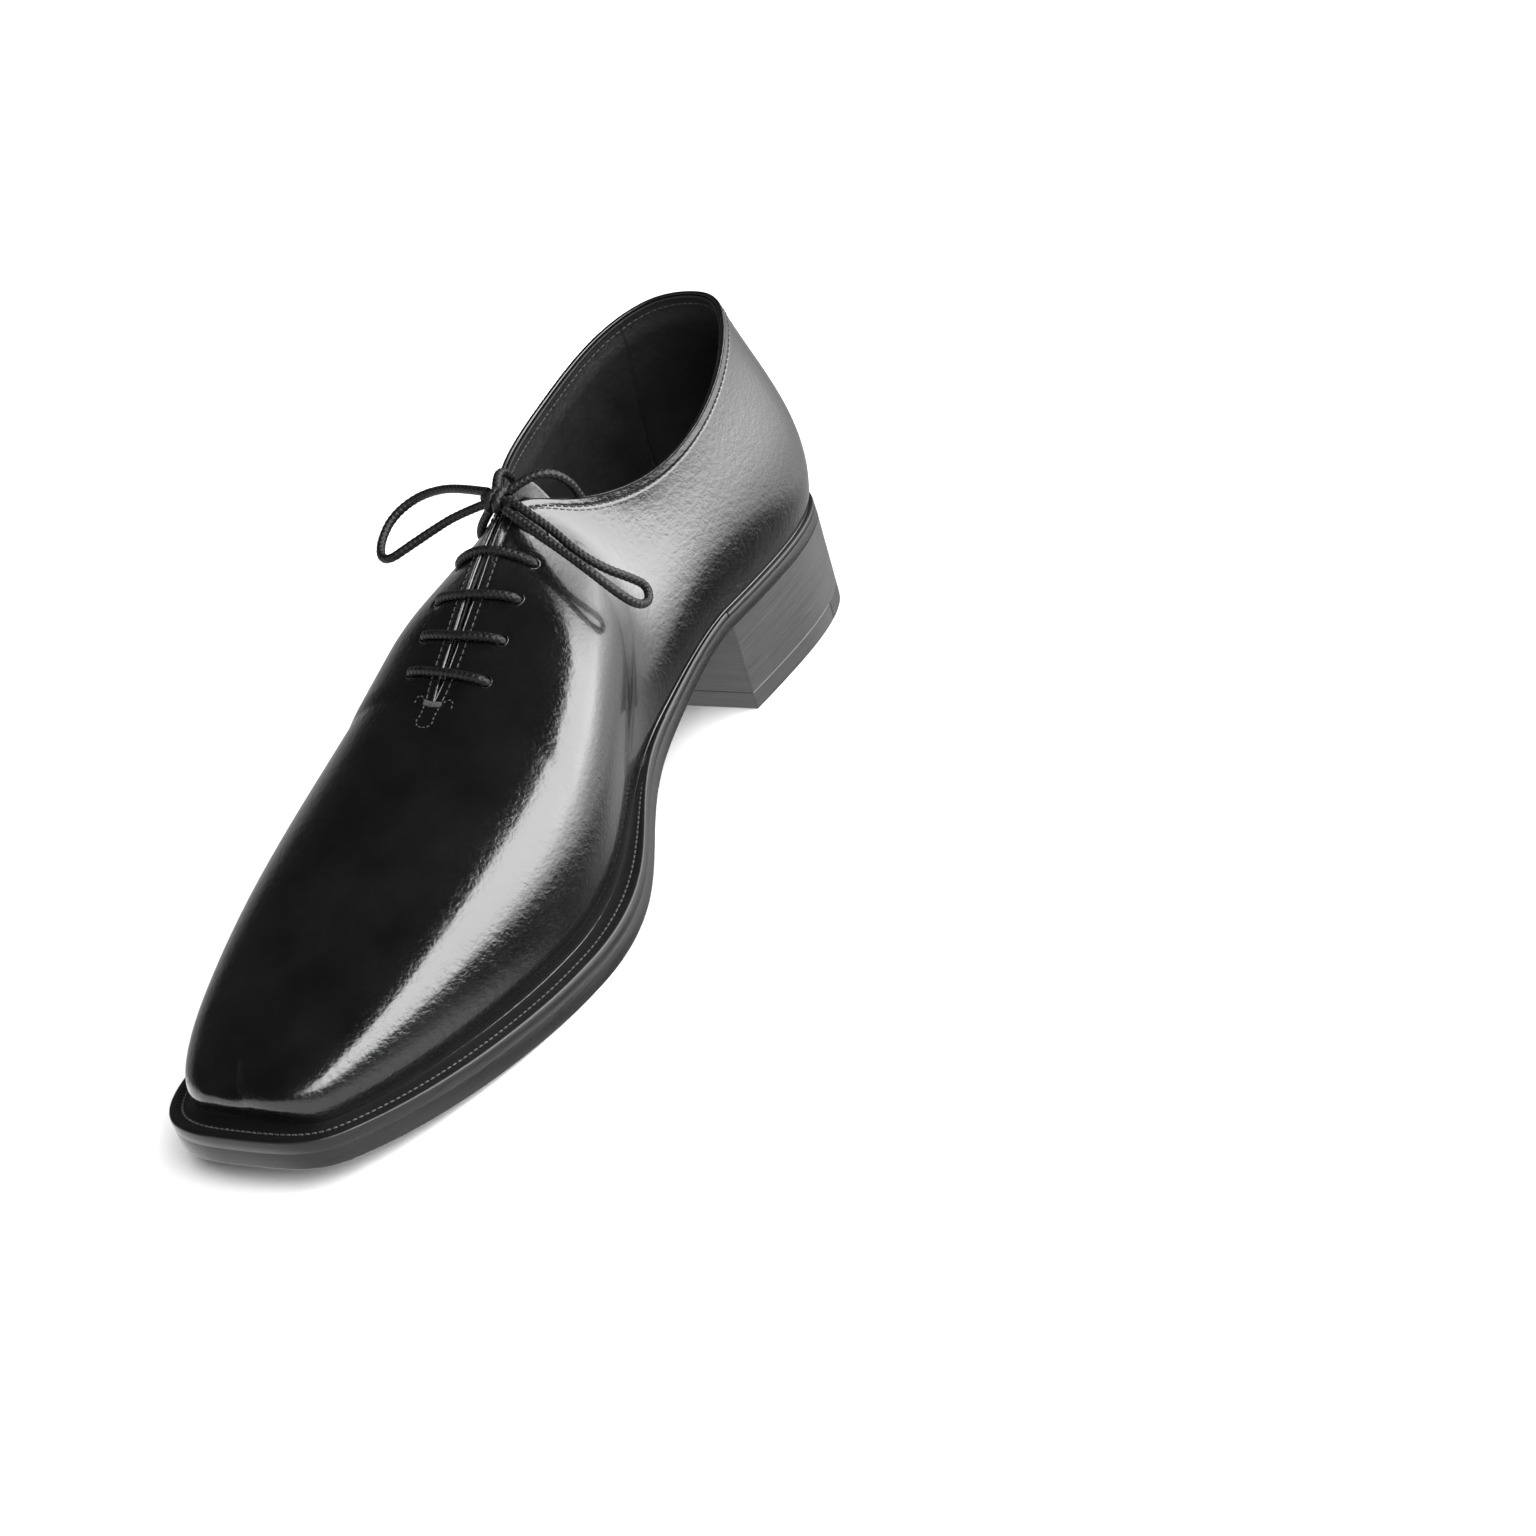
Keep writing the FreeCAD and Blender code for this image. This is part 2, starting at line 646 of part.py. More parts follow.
def make_heel():
    """Lifts, leather top piece, rubber tip and the nails that hold them."""
    nails = []
    for number, (u, inset) in enumerate(NAIL_PLACES, start=1):
        s, x, normal = sole_point(LATERAL if u > 0 else MEDIAL, abs(u), inset)
        nail = doc.addObject("Part::Cylinder", "nail_%d" % number)
        nail.setExpression("Radius", "sizes.nail_radius")
        nail.setExpression("Height", "sizes.nail_length")
        nail.Placement = Placement(place(s, x, size("nail_recess")), Rotation())
        nails.append(nail)
    group = doc.addObject("Part::Compound", "nail_group")
    group.Links = nails
    keep(group, "heel_nails")

    tread_piece = size("top_piece_height")
    piece = heel_block("top_piece", 0.0, tread_piece)
    tip_end = size("tip_length")
    for name, low, high in (("heel_tip", -5.0, tip_end), ("top_piece", tip_end + size("tip_gap"), breast + 5.0)):
        half = combine("Common", name + "_half", piece, half_space(name + "_box", low, high))
        keep(combine("Cut", name, half, group), name)

    count = int(size("lift_count"))
    levels = steps(tread_piece, heel_height, count)
    for number in range(count):
        name = "heel_lift_%d" % (number + 1)
        block = heel_block(name, levels[number], levels[number + 1])
        if number:
            keep(block, name)
        else:
            keep(combine("Cut", name + "_drilled", block, group), name)


# ---------------------------------------------------------------- upper and its linings


def upper_shape():
    """Whole-cut upper: one skin from the medial ridge round the heel to the lateral ridge."""
    segments = [rows_between(MEDIAL, SLIT_END, 1)[::-1], round_heel(SLIT_END),
                rows_between(LATERAL, SLIT_END, 1)]
    return punch(leather(segments, 0, 1, 0, upper_depth, joined=(0, 2), closed=True, columns=14))


COUNTER_REACH = 0.21
COUNTER_HEIGHT = 0.72
STAY_START = 0.4
STAY_FOOT = 0.76
PUFF_START = 0.87
LINING_SEAM = 0.1
VAMP_SEAM = 0.605
SEAM_GAP = 0.002
TOP_MARGIN = 0.995


def make_upper():
    """Outer leather, the stiff layer under it, and the linings."""
    feature("upper", upper_shape())
    stiff = (stiff_top, stiff_base)
    feature("heel_counter", leather([round_heel(COUNTER_REACH)], 0.0, COUNTER_HEIGHT, *stiff))
    feature("toe_puff", leather(round_toe(PUFF_START), 0.0, 1, *stiff, joined=(0, 1)))
    inside = (lining_top, lining_base)
    feature("heel_lining", leather([round_heel(LINING_SEAM)], 0.0, TOP_MARGIN, *inside))
    for side, name in ((LATERAL, "lateral"), (MEDIAL, "medial")):
        stay = leather([rows_between(side, STAY_START, 0.592)], STAY_FOOT, TOP_MARGIN, *stiff)
        feature("eyelet_stay_" + name, punch(stay))
        backer = leather([rows_between(side, COUNTER_REACH + SEAM_GAP, PUFF_START - SEAM_GAP)],
                         0.0, STAY_FOOT - 0.01, *stiff)
        feature("side_backer_" + name, backer)
        quarter = leather([rows_between(side, LINING_SEAM + SEAM_GAP, 0.598)], 0.0, TOP_MARGIN, *inside)
        feature("quarter_lining_" + name, punch(quarter))
    feature("vamp_lining", leather(round_toe(VAMP_SEAM), 0.0, 1, *inside, joined=(0, 1)))


TONGUE_ROWS = [0.41, 0.43, 0.45, 0.475, 0.5, 0.525, 0.55, 0.575, 0.6, 0.62]
TONGUE_COLUMNS = [0.72, 0.77, 0.82, 0.87, 0.91]
TONGUE_TOP_DIRECTION = Vector(0, 0.78, 0.62)


def tongue_row(u, depth):
    """Points across the tongue, medial to lateral. The middle one bridges the slit."""
    sides = {side: [layer_point(side, u, v, depth) for v in TONGUE_COLUMNS] for side in (MEDIAL, LATERAL)}
    edges = [layer_point(side, u, 1.0, depth) for side in (MEDIAL, LATERAL)]
    middle = (edges[0] + edges[1]) / 2
    return sides[MEDIAL] + [middle] + sides[LATERAL][::-1]


def halves(face, middle):
    """The two parts of a surface on either side of a column knot. They match exactly along it."""
    first, last, low, high = face.bounds()
    parts = []
    for start, end in ((low, middle), (middle, high)):
        part = face.copy()
        part.segment(first, last, start, end)
        parts.append(part)
    return parts


def make_tongue():
    """Tongue under the facings, rising a little above the throat."""
    outer_depth = lining_base + 2 * size("lace_radius") + size("tongue_fit")
    rise = TONGUE_TOP_DIRECTION * size("tongue_rise")
    sheets = []
    for depth in (outer_depth, outer_depth + size("tongue_height")):
        grid = [tongue_row(u, depth) for u in TONGUE_ROWS]
        throat = grid[0]
        grid = [[point + rise for point in throat], [point + rise / 2 for point in throat]] + grid
        whole = surface(grid, list(range(len(grid))), list(range(len(throat))))
        sheets.append(halves(whole, len(TONGUE_COLUMNS)))
    faces = [half.toShape() for sheet_halves in sheets for half in sheet_halves]
    for number, rims in enumerate((("bottom", "first", "last"), ("top", "first", "last"))):
        for name in rims:
            edges = [boundary(sheet_halves[number], name) for sheet_halves in sheets]
            faces.append(Part.makeRuledSurface(*edges))
    feature("tongue", solid_from(faces))


def make_bar_tack():
    """Thread bar across the closed end of the slit."""
    point = layer_point(LATERAL, SLIT_END, 1.0, -0.5)
    tack = doc.addObject("Part::Cylinder", "tack")
    tack.setExpression("Radius", "sizes.tack_radius")
    tack.setExpression("Height", "sizes.tack_length")
    start = point - Vector(size("tack_length") / 2, 0, 0)
    tack.Placement = Placement(start, Rotation(Vector(0, 1, 0), 90))
    keep(tack, "bar_tack")


# ---------------------------------------------------------------- lace


def cord_tube(name, points, radius):
    """Round cord along straight runs joined by tangent arcs."""
    edges = []
    at = points[0]
    radii = []
    for before, corner, after in zip(points, points[1:], points[2:]):
        back, ahead = before - corner, after - corner
        reach = 0.45 * min(back.Length, ahead.Length)
        back.normalize()
        ahead.normalize()
        half_turn = (math.pi - back.getAngle(ahead)) / 2
        bend = reach / math.tan(half_turn)
        radii.append(round(bend, 1))
        first, last = corner + back * reach, corner + ahead * reach
        inward = back + ahead
        inward.normalize()
        middle = corner + inward * (bend / math.cos(half_turn) - bend)
        edges.append(Part.LineSegment(at, first).toShape())
        edges.append(Part.Arc(first, middle, last).toShape())
        at = last
    edges.append(Part.LineSegment(at, points[-1]).toShape())
    path = Part.Wire(edges)
    ring = Part.Wire([Part.makeCircle(radius, points[0], points[1] - points[0])])
    tube = path.makePipeShell([ring], True, False)
    share = tube.Volume / (math.pi * radius * radius * path.Length)
    print("%s: length %.0f mm, volume share %.3f, radii %s" % (name, path.Length, share, radii))
    return tube


def at_eyelet(side, number, height):
    """Point on an eyelet's axis, a height above the outer face."""
    point, axis = eyelet_axis(side, *EYELETS[side][number])
    return point + axis * height


def over_slit(number, height):
    """Point over the middle of the slit at one row of eyelets."""
    ends = [layer_point(side, EYELETS[side][number][0], 1.0, -height) for side in (LATERAL, MEDIAL)]
    return (ends[0] + ends[1]) / 2


KNOT = Vector(-3, 34, 101)
LATERAL_LOOP = [(1, 33, 101.5), (7, 31, 99), (15, 30, 93.5), (23.5, 27, 88), (30, 28, 82), (34, 32.5, 76),
                (35.5, 36.5, 70.8), (36.8, 33.8, 67.2), (37.5, 27.5, 69.5), (35.8, 22, 76.5), (30, 20.5, 83.5),
                (21, 22.5, 89.5), (10, 26, 95.5), (1, 30, 100)]
MEDIAL_LOOP = [(-8, 36, 102), (-18, 38, 101.8), (-29, 40, 100.5), (-39, 39, 98), (-45, 33, 95),
               (-45, 25.3, 92), (-42.2, 19.5, 90), (-38.1, 18.2, 89.8), (-33, 21.8, 91.8), (-26, 26.8, 94.5),
               (-18, 31, 97.5), (-8, 33, 100)]
LATERAL_END = [(-1, 36.5, 102), (3, 40.5, 104), (8, 45.5, 103), (10, 50, 97), (9.5, 53, 88.5), (9, 55, 79),
               (9.5, 56, 69.5)]
MEDIAL_END = [(-6, 36.5, 101.5), (-8, 41, 103.8), (-9.8, 46.3, 102.8), (-10.6, 50.5, 97.4), (-11, 53.2, 89),
              (-11.3, 55, 79.5), (-12, 56, 70)]

# Inside run of the lace, from the toe end of the slit up the medial side: (side, u, v).
RETURN_RUN = [(LATERAL, 0.592, 0.95), (MEDIAL, 0.592, 0.94), (MEDIAL, 0.565, 0.83), (MEDIAL, 0.52, 0.8),
              (MEDIAL, 0.475, 0.8), (MEDIAL, 0.44, 0.81)]

# Where the threaded run leaves the knot on each side, from the knot's middle.
KNOT_EXIT = {LATERAL: Vector(4, -2, -3), MEDIAL: Vector(-4, -2, -3)}


def make_lace():
    """Threaded run, knot, bow loops and the two tagged ends."""
    radius = size("lace_radius")
    above = radius + 0.3
    below = -(lining_base + radius + 0.1)
    crest = radius + 0.4
    route = [KNOT + KNOT_EXIT[LATERAL]]
    side = LATERAL
    route += [at_eyelet(side, 0, above), at_eyelet(side, 0, below)]
    for number in range(1, 5):
        route += [at_eyelet(side, number, below), at_eyelet(side, number, above), over_slit(number, crest)]
        side = -side
        route += [at_eyelet(side, number, above), at_eyelet(side, number, below)]
    route += [layer_point(*place_uv, -below) for place_uv in RETURN_RUN]
    route += [at_eyelet(MEDIAL, 0, below), at_eyelet(MEDIAL, 0, above), KNOT + KNOT_EXIT[MEDIAL]]
    feature("lace_run", cord_tube("lace_run", route, radius))

    knot = doc.addObject("Part::Ellipsoid", "knot")
    knot.setExpression("Radius1", "sizes.knot_short")
    knot.setExpression("Radius2", "sizes.knot_long")
    knot.setExpression("Radius3", "sizes.knot_short")
    knot.Placement = Placement(KNOT, Rotation())
    keep(knot, "bow_knot")

    for name, points in (("bow_loop_lateral", LATERAL_LOOP), ("bow_loop_medial", MEDIAL_LOOP),
                         ("lace_end_lateral", LATERAL_END), ("lace_end_medial", MEDIAL_END)):
        feature(name, cord_tube(name, [Vector(*point) for point in points], radius))

    for name, points in (("lace_tag_lateral", LATERAL_END), ("lace_tag_medial", MEDIAL_END)):
        before, end = Vector(*points[-2]), Vector(*points[-1])
        tag = doc.addObject("Part::Cylinder", name)
        tag.setExpression("Radius", "sizes.tag_radius")
        tag.setExpression("Height", "sizes.tag_length")
        tag.Placement = Placement(end, Rotation(Vector(0, 0, 1), end - before))
        keep(tag, name)


# ---------------------------------------------------------------- build, check and write


def write_all():
    """Recompute, check every state and shape, and write one file for each sub-part."""
    doc.recompute()
    for item in doc.Objects:
        if "Invalid" in item.State or "Error" in item.State:
            raise RuntimeError("%s failed: %s" % (item.Name, item.State))
    os.makedirs("parts", exist_ok=True)
    for piece in pieces:
        shape = piece.Shape
        if shape.isNull() or not shape.isValid() or shape.Volume <= 0:
            raise RuntimeError("%s has a bad shape" % piece.Label)
        shape.exportStep(os.path.join("parts", piece.Label + ".step"))
        box = shape.BoundBox
        print("%-24s solids %d volume %9.1f  x %6.1f %6.1f  y %7.1f %7.1f  z %6.1f %6.1f" % (
            piece.Label, len(shape.Solids), shape.Volume, box.XMin, box.XMax, box.YMin, box.YMax,
            box.ZMin, box.ZMax))


make_upper()
make_tongue()
make_bar_tack()
make_sole()
make_heel()
make_lace()
write_all()
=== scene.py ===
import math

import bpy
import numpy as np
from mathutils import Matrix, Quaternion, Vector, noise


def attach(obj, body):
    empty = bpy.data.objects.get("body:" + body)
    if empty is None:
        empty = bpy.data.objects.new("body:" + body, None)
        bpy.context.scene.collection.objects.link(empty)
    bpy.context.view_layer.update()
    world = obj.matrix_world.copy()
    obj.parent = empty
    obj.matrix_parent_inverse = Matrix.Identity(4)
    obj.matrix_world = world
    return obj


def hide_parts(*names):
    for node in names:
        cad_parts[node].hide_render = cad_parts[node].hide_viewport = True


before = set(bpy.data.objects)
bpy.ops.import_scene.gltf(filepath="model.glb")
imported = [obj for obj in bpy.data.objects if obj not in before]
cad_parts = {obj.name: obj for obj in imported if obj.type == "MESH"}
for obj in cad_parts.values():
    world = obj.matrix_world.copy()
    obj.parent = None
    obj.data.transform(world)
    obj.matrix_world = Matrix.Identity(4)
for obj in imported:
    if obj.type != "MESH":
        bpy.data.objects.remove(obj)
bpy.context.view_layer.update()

# Looks of the left oxford shoe: leather, linings, stitching, sole edge, stacked heel and braided lace.
# The surface tables repeat the CAD part's, in millimetres: s runs forward from the heel back, x is
# lateral and z is up. A place on the upper is (t, v): t is -1 at the toe, 0 at the heel back and 1 at the
# toe again, negative on the medial side, and v is 0 at the welt and 1 at the topline or ridge.

MM = 0.001

# ---------------------------------------------------------------- tables shared with the CAD part

CENTRE_FORWARD, CENTRE_SIDE = 151.8, 2.56
SOLE_LATERAL = [(2, 0), (4.5, 13), (12, 22.5), (28, 29), (50, 30.5), (78, 29), (105, 27.5),
                (125, 29), (148, 37.5), (172, 48.5), (195, 53), (218, 52), (242, 48),
                (268, 41), (290, 31.5), (299.5, 24), (303.5, 10), (304, -7)]
SOLE_MEDIAL = [(2, 0), (4.5, -13), (12, -23), (28, -30), (50, -31), (70, -29.5), (90, -27),
               (115, -26), (140, -29.5), (165, -37), (190, -45), (215, -48), (240, -47),
               (266, -44), (288, -37.5), (299, -28.5), (303.2, -18), (304, -7)]
TREAD_LINE = [(74, 29.5), (110, 20), (145, 10), (180, 2), (205, 0), (235, 0.6), (270, 3.6), (304, 8.5)]
FEATHER_INSET = [(0, 1.2), (0.25, 1.2), (0.34, 1.5), (0.42, 2.5), (0.5, 5.2), (0.58, 7.2),
                 (0.66, 7.8), (1, 7.8)]
TOP_LATERAL = [(0, 7.5, 0, 105), (0.06, 11, 12, 104.3), (0.13, 26, 22.5, 99.8), (0.21, 52, 27.5, 90.5),
               (0.29, 82, 22.5, 85.8), (0.36, 104, 10.5, 92.3), (0.41, 115.5, 2.4, 98),
               (0.47, 135, 1.8, 91.2), (0.54, 158, 1.7, 78.5), (0.57, 167.2, 1.4, 73.6),
               (0.585, 171.6, 1, 71.35), (0.6, 176, 0.3, 69.2)]
TOP_MEDIAL = [(0, 7.5, 0, 105), (0.06, 11, -13.2, 104.3), (0.13, 26, -25.3, 100.5),
              (0.21, 52, -30.5, 94.5), (0.29, 82, -27, 91.3), (0.36, 104, -13, 94.5),
              (0.41, 115.5, -3.2, 98), (0.47, 135, -1.7, 91.2), (0.54, 158, -1.3, 78.5),
              (0.57, 167.2, -0.9, 73.6), (0.585, 171.6, -0.4, 71.35), (0.6, 176, 0.3, 69.2)]
RIDGE = [(0.6, 176, 0.3, 69.2), (0.66, 195, -1, 62.2), (0.74, 222, -3.3, 54), (0.82, 248, -5.2, 45.2),
         (0.9, 272, -6.4, 36.6), (0.95, 281, -6.9, 33.2), (1, 287, -7, 30)]
SLIT_END = 0.6
HEEL_TOP_SLOPE = 215
SLIT_END_SLOPE = {1: (300, -50, -125), -1: (300, 50, -125)}
RIDGE_START_SLOPE = (300, -10, -125)
SLOPE_BLEND = (0.42, 0.54)
TOE_GATHER = 0.14
WAIST_START, WAIST_END = 78, 150
LEAN_LATERAL = [(0, 20), (0.08, 21), (0.16, 19), (0.25, 16), (0.34, 12), (0.42, 9), (0.58, 10),
                (0.74, 10), (0.9, 6), (1, 5)]
LEAN_MEDIAL = [(0, 20), (0.08, 16), (0.16, 12.5), (0.25, 10), (0.34, 5), (0.42, 3), (0.5, 7),
               (0.58, 11), (0.74, 12), (0.9, 8), (1, 5)]
LOWER_REACH = [(0, 0.36), (0.16, 0.4), (0.34, 0.43), (0.42, 0.45), (0.5, 0.5), (0.58, 0.57),
               (0.66, 0.62), (0.74, 0.67), (0.9, 0.69), (1, 0.67)]
UPPER_REACH = [(0, 0.32), (0.16, 0.36), (0.25, 0.43), (0.34, 0.5), (0.42, 0.57), (0.5, 0.64),
               (0.66, 0.66), (0.82, 0.69), (1, 0.7)]
UPPER_FALL = [(0, 80), (0.16, 82), (0.25, 83), (0.34, 72), (0.42, 40), (0.5, 14), (0.58, 3.5),
              (0.66, 0), (0.74, 0), (0.82, 0), (1, 0)]
EYELETS = [(0.43, 0.905), (0.466, 0.9), (0.505, 0.9), (0.541, 0.9), (0.575, 0.9)]

HEEL_EDGE, FOREPART_EDGE = 5.6, 9.2
OUTSOLE_HEEL, OUTSOLE_FOREPART = 3.6, 5.4
HEEL_HEIGHT, HEEL_BREAST, HEEL_TAPER = 29.5, 76.0, 1.8
TOP_PIECE, LIFTS, TIP_LENGTH = 6.0, 4, 27.0
UPPER_DEPTH = 1.4
LINING_TOP, LINING_BASE = 2.3, 3.2
INSOLE_HEIGHT, SOCK_HEIGHT, SOCK_LENGTH = 3.0, 1.0, 92.0
EYELET_RADIUS, LACE_RADIUS = 1.7, 1.35
LATERAL, MEDIAL = 1, -1

# ---------------------------------------------------------------- curves and the skin of the last


class Curve:
    """Cubic spline through rows of (knot, value, value...), natural where no end slope is given."""

    def __init__(self, rows, start=None, end=None):
        rows = np.array(rows, float)
        self.knots = rows[:, 0]
        self.values = rows[:, 1:]
        gap = np.diff(self.knots)
        rise = np.diff(self.values, axis=0) / gap[:, None]
        count = len(rows)
        system = np.zeros((count, count))
        right = np.zeros_like(self.values)
        system[0, :2] = 2, 1
        right[0] = 3 * rise[0]
        system[-1, -2:] = 1, 2
        right[-1] = 3 * rise[-1]
        for i in range(1, count - 1):
            system[i, i - 1:i + 2] = 1 / gap[i - 1], 2 / gap[i - 1] + 2 / gap[i], 1 / gap[i]
            right[i] = 3 * (rise[i - 1] / gap[i - 1] + rise[i] / gap[i])
        for row, slope in ((0, start), (-1, end)):
            if slope is not None:
                system[row] = 0
                system[row, row] = 1
                right[row] = slope
        self.slopes = np.linalg.solve(system, right)

    def __call__(self, knot, derivative=False):
        knot = np.asarray(knot, float)
        i = np.clip(np.searchsorted(self.knots, knot, side="right") - 1, 0, len(self.knots) - 2)
        gap = (self.knots[i + 1] - self.knots[i])[..., None]
        t = (knot - self.knots[i])[..., None] / gap
        if derivative:
            places = (self.values[i] - self.values[i + 1]) * (6 * t * t - 6 * t) / gap
            slopes = self.slopes[i] * (3 * t * t - 4 * t + 1) + self.slopes[i + 1] * (3 * t * t - 2 * t)
            return places + slopes
        places = self.values[i] * (2 * t ** 3 - 3 * t * t + 1) + self.values[i + 1] * (3 * t * t - 2 * t ** 3)
        slopes = self.slopes[i] * (t ** 3 - 2 * t * t + t) + self.slopes[i + 1] * (t ** 3 - t * t)
        return places + slopes * gap


def ease(value, low, high):
    """0 below low and 1 above high, with a smooth change between."""
    share = np.clip((np.asarray(value, float) - low) / (high - low), 0, 1)
    return share * share * (3 - 2 * share)


def unit(vectors):
    """Vectors at length one."""
    return vectors / np.maximum(np.linalg.norm(vectors, axis=-1, keepdims=True), 1e-12)


def edge_curve(points, side):
    """Half of the sole's outline, heel to toe, square to the centre line at both ends."""
    points = np.array(points, float)
    lengths = np.concatenate([[0], np.cumsum(np.linalg.norm(np.diff(points, axis=0), axis=1))])
    total = lengths[-1]
    return Curve(np.column_stack([lengths / total, points]), start=(0, side * total), end=(0, -side * total))


EDGE = {LATERAL: edge_curve(SOLE_LATERAL, LATERAL), MEDIAL: edge_curve(SOLE_MEDIAL, MEDIAL)}
TOP = {LATERAL: Curve(TOP_LATERAL, (0, HEEL_TOP_SLOPE, 0), SLIT_END_SLOPE[LATERAL]),
       MEDIAL: Curve(TOP_MEDIAL, (0, -HEEL_TOP_SLOPE, 0), SLIT_END_SLOPE[MEDIAL])}
RIDGE_LINE = Curve(RIDGE, start=RIDGE_START_SLOPE)
TREAD = Curve(TREAD_LINE, start=(0,))
INSET = Curve(FEATHER_INSET)
LEAN = {LATERAL: Curve(LEAN_LATERAL), MEDIAL: Curve(LEAN_MEDIAL)}
LOWER = Curve(LOWER_REACH)
UPPER = Curve(UPPER_REACH)
FALL = Curve(UPPER_FALL, start=(0,), end=(0,))


def ridge_reach(u):
    """Place on the ridge for each cross line. It slows to a stop at the toe, where the sides meet."""
    left = np.clip((1 - u) / TOE_GATHER, 0, 1)
    return np.where(left < 1, 1 - TOE_GATHER * left * left * (2 - left), u)


def tread_height(s):
    """Underside of the outsole: flat over the heel, then down to the tread and up to the toe."""
    s = np.asarray(s, float)
    line = np.maximum(TREAD(np.maximum(s, TREAD_LINE[0][0]))[..., 0], 0)
    return np.where(s <= TREAD_LINE[0][0], HEEL_HEIGHT, line)


def thickness_at(s, heel, forepart):
    """Thickness along the sole, from the heel's value to the forepart's."""
    return heel + (forepart - heel) * ease(s, WAIST_START, WAIST_END)


def edge_top(s):
    """Height of the welt's upper face."""
    return tread_height(s) + thickness_at(s, HEEL_EDGE, FOREPART_EDGE)


def place(s, x, z):
    """Points in the row frame, in millimetres."""
    return np.stack(np.broadcast_arrays(x - CENTRE_SIDE, CENTRE_FORWARD - s, z), axis=-1)


def by_side(curves, t, derivative=False):
    """Reading of the lateral or medial curve at each t."""
    u = np.minimum(np.abs(t), 1)
    return np.where((t >= 0)[..., None], curves[LATERAL](u, derivative), curves[MEDIAL](u, derivative))


def sole_line(t, inset=0.0):
    """(s, x) on the sole's outline at each t, moved inwards by inset, and the outward direction."""
    side = np.where(t >= 0, 1.0, -1.0)
    point = by_side(EDGE, t)
    run = unit(by_side(EDGE, t, True))
    normal = np.stack([-side * run[..., 1], side * run[..., 0]], axis=-1)
    return point - np.asarray(inset)[..., None] * normal, normal


def cross_lines(t):
    """Control points of the cross lines, from the feather line to the top, in millimetres."""
    u = np.minimum(np.abs(t), 1)
    foot_plan, normal = sole_line(t, INSET(u)[..., 0])
    foot = place(foot_plan[..., 0], foot_plan[..., 1], edge_top(foot_plan[..., 0]))
    in_front = (u >= SLIT_END)[..., None]
    along_ridge = ridge_reach(u)
    top = np.where(in_front, RIDGE_LINE(along_ridge), by_side(TOP, t))
    run = np.where(in_front, RIDGE_LINE(along_ridge, True), by_side(TOP, t, True))
    head = place(top[..., 0], top[..., 1], top[..., 2])
    outward = np.stack([normal[..., 1], -normal[..., 0], np.zeros_like(u)], axis=-1)
    lean = np.radians(by_side(LEAN, t)[..., 0])[..., None]
    fall = np.radians(FALL(u)[..., 0])[..., None]
    up = np.array([0, 0, 1.0])
    steep = ease(u, *SLOPE_BLEND)
    slope = np.where(steep > 0, run[..., 2] / np.where(np.abs(run[..., 0]) < 1e-6, 1, run[..., 0]) * steep, 0)
    sink = (slope * normal[..., 0])[..., None] * np.cos(fall) - np.sin(fall)
    height = (head - foot)[..., 2:]
    span = np.linalg.norm(head - foot, axis=-1, keepdims=True)
    lower = foot + (outward * np.sin(lean) + up * np.cos(lean)) * LOWER(u) * height
    upper = head + (outward * np.cos(fall) + up * sink) * UPPER(u) * span
    return foot, lower, upper, head


def skin(t, v):
    """Points of the upper's outer face at each t and v."""
    t, v = np.broadcast_arrays(np.asarray(t, float), np.asarray(v, float))
    a, b, c, d = cross_lines(t)
    v = v[..., None]
    w = 1 - v
    return a * w ** 3 + b * 3 * w * w * v + c * 3 * w * v * v + d * v ** 3


def skin_normal(t, v):
    """Outward directions of the outer face. The two sides share them along the ridge."""
    t, v = np.broadcast_arrays(np.asarray(t, float), np.asarray(v, float))
    step_t, step_v = 0.0015, 0.01

    def one_side(t):
        ahead = skin(np.minimum(t + step_t, 1), v) - skin(np.maximum(t - step_t, -1), v)
        above = skin(t, np.minimum(v + step_v, 1)) - skin(t, np.maximum(v - step_v, 0))
        return unit(np.cross(above, ahead))

    normal = one_side(t)
    shared = ((v > 0.999) & (np.abs(t) >= SLIT_END)) | (np.abs(t) > 0.999)
    both = unit(normal + one_side(-t))
    return np.where(shared[..., None], both, normal)


def layer(t, v, depth):
    """Points at a depth under the outer face."""
    return skin(t, v) - skin_normal(t, v) * np.asarray(depth)[..., None]


def v_below_top(t, distance):
    """v at a distance below the topline or slit edge, measured along the leather."""
    v = np.linspace(0, 1, 241)
    result = []
    for value, wanted in zip(*np.broadcast_arrays(np.atleast_1d(t), distance)):
        line = skin(np.full_like(v, value), v)
        step = np.linalg.norm(np.diff(line[::-1], axis=0), axis=1)
        down = np.concatenate([[0], np.cumsum(step)])
        result.append(np.interp(wanted, down, v[::-1]))
    return np.array(result)


# ---------------------------------------------------------------- mesh helpers


def mesh_object(name, vertices, faces, material):
    """Smooth-shaded object from millimetre points and faces. Unused points are dropped."""
    vertices = np.asarray(vertices, float).reshape(-1, 3)
    used = np.zeros(len(vertices), bool)
    for face in faces:
        used[list(face)] = True
    number = np.cumsum(used) - 1
    mesh = bpy.data.meshes.new(name)
    mesh.from_pydata((vertices[used] * MM).tolist(), [], [[int(number[i]) for i in face] for face in faces])
    mesh.validate()
    mesh.polygons.foreach_set("use_smooth", [True] * len(mesh.polygons))
    mesh.materials.append(material)
    piece = bpy.data.objects.new(name, mesh)
    bpy.context.scene.collection.objects.link(piece)
    return piece


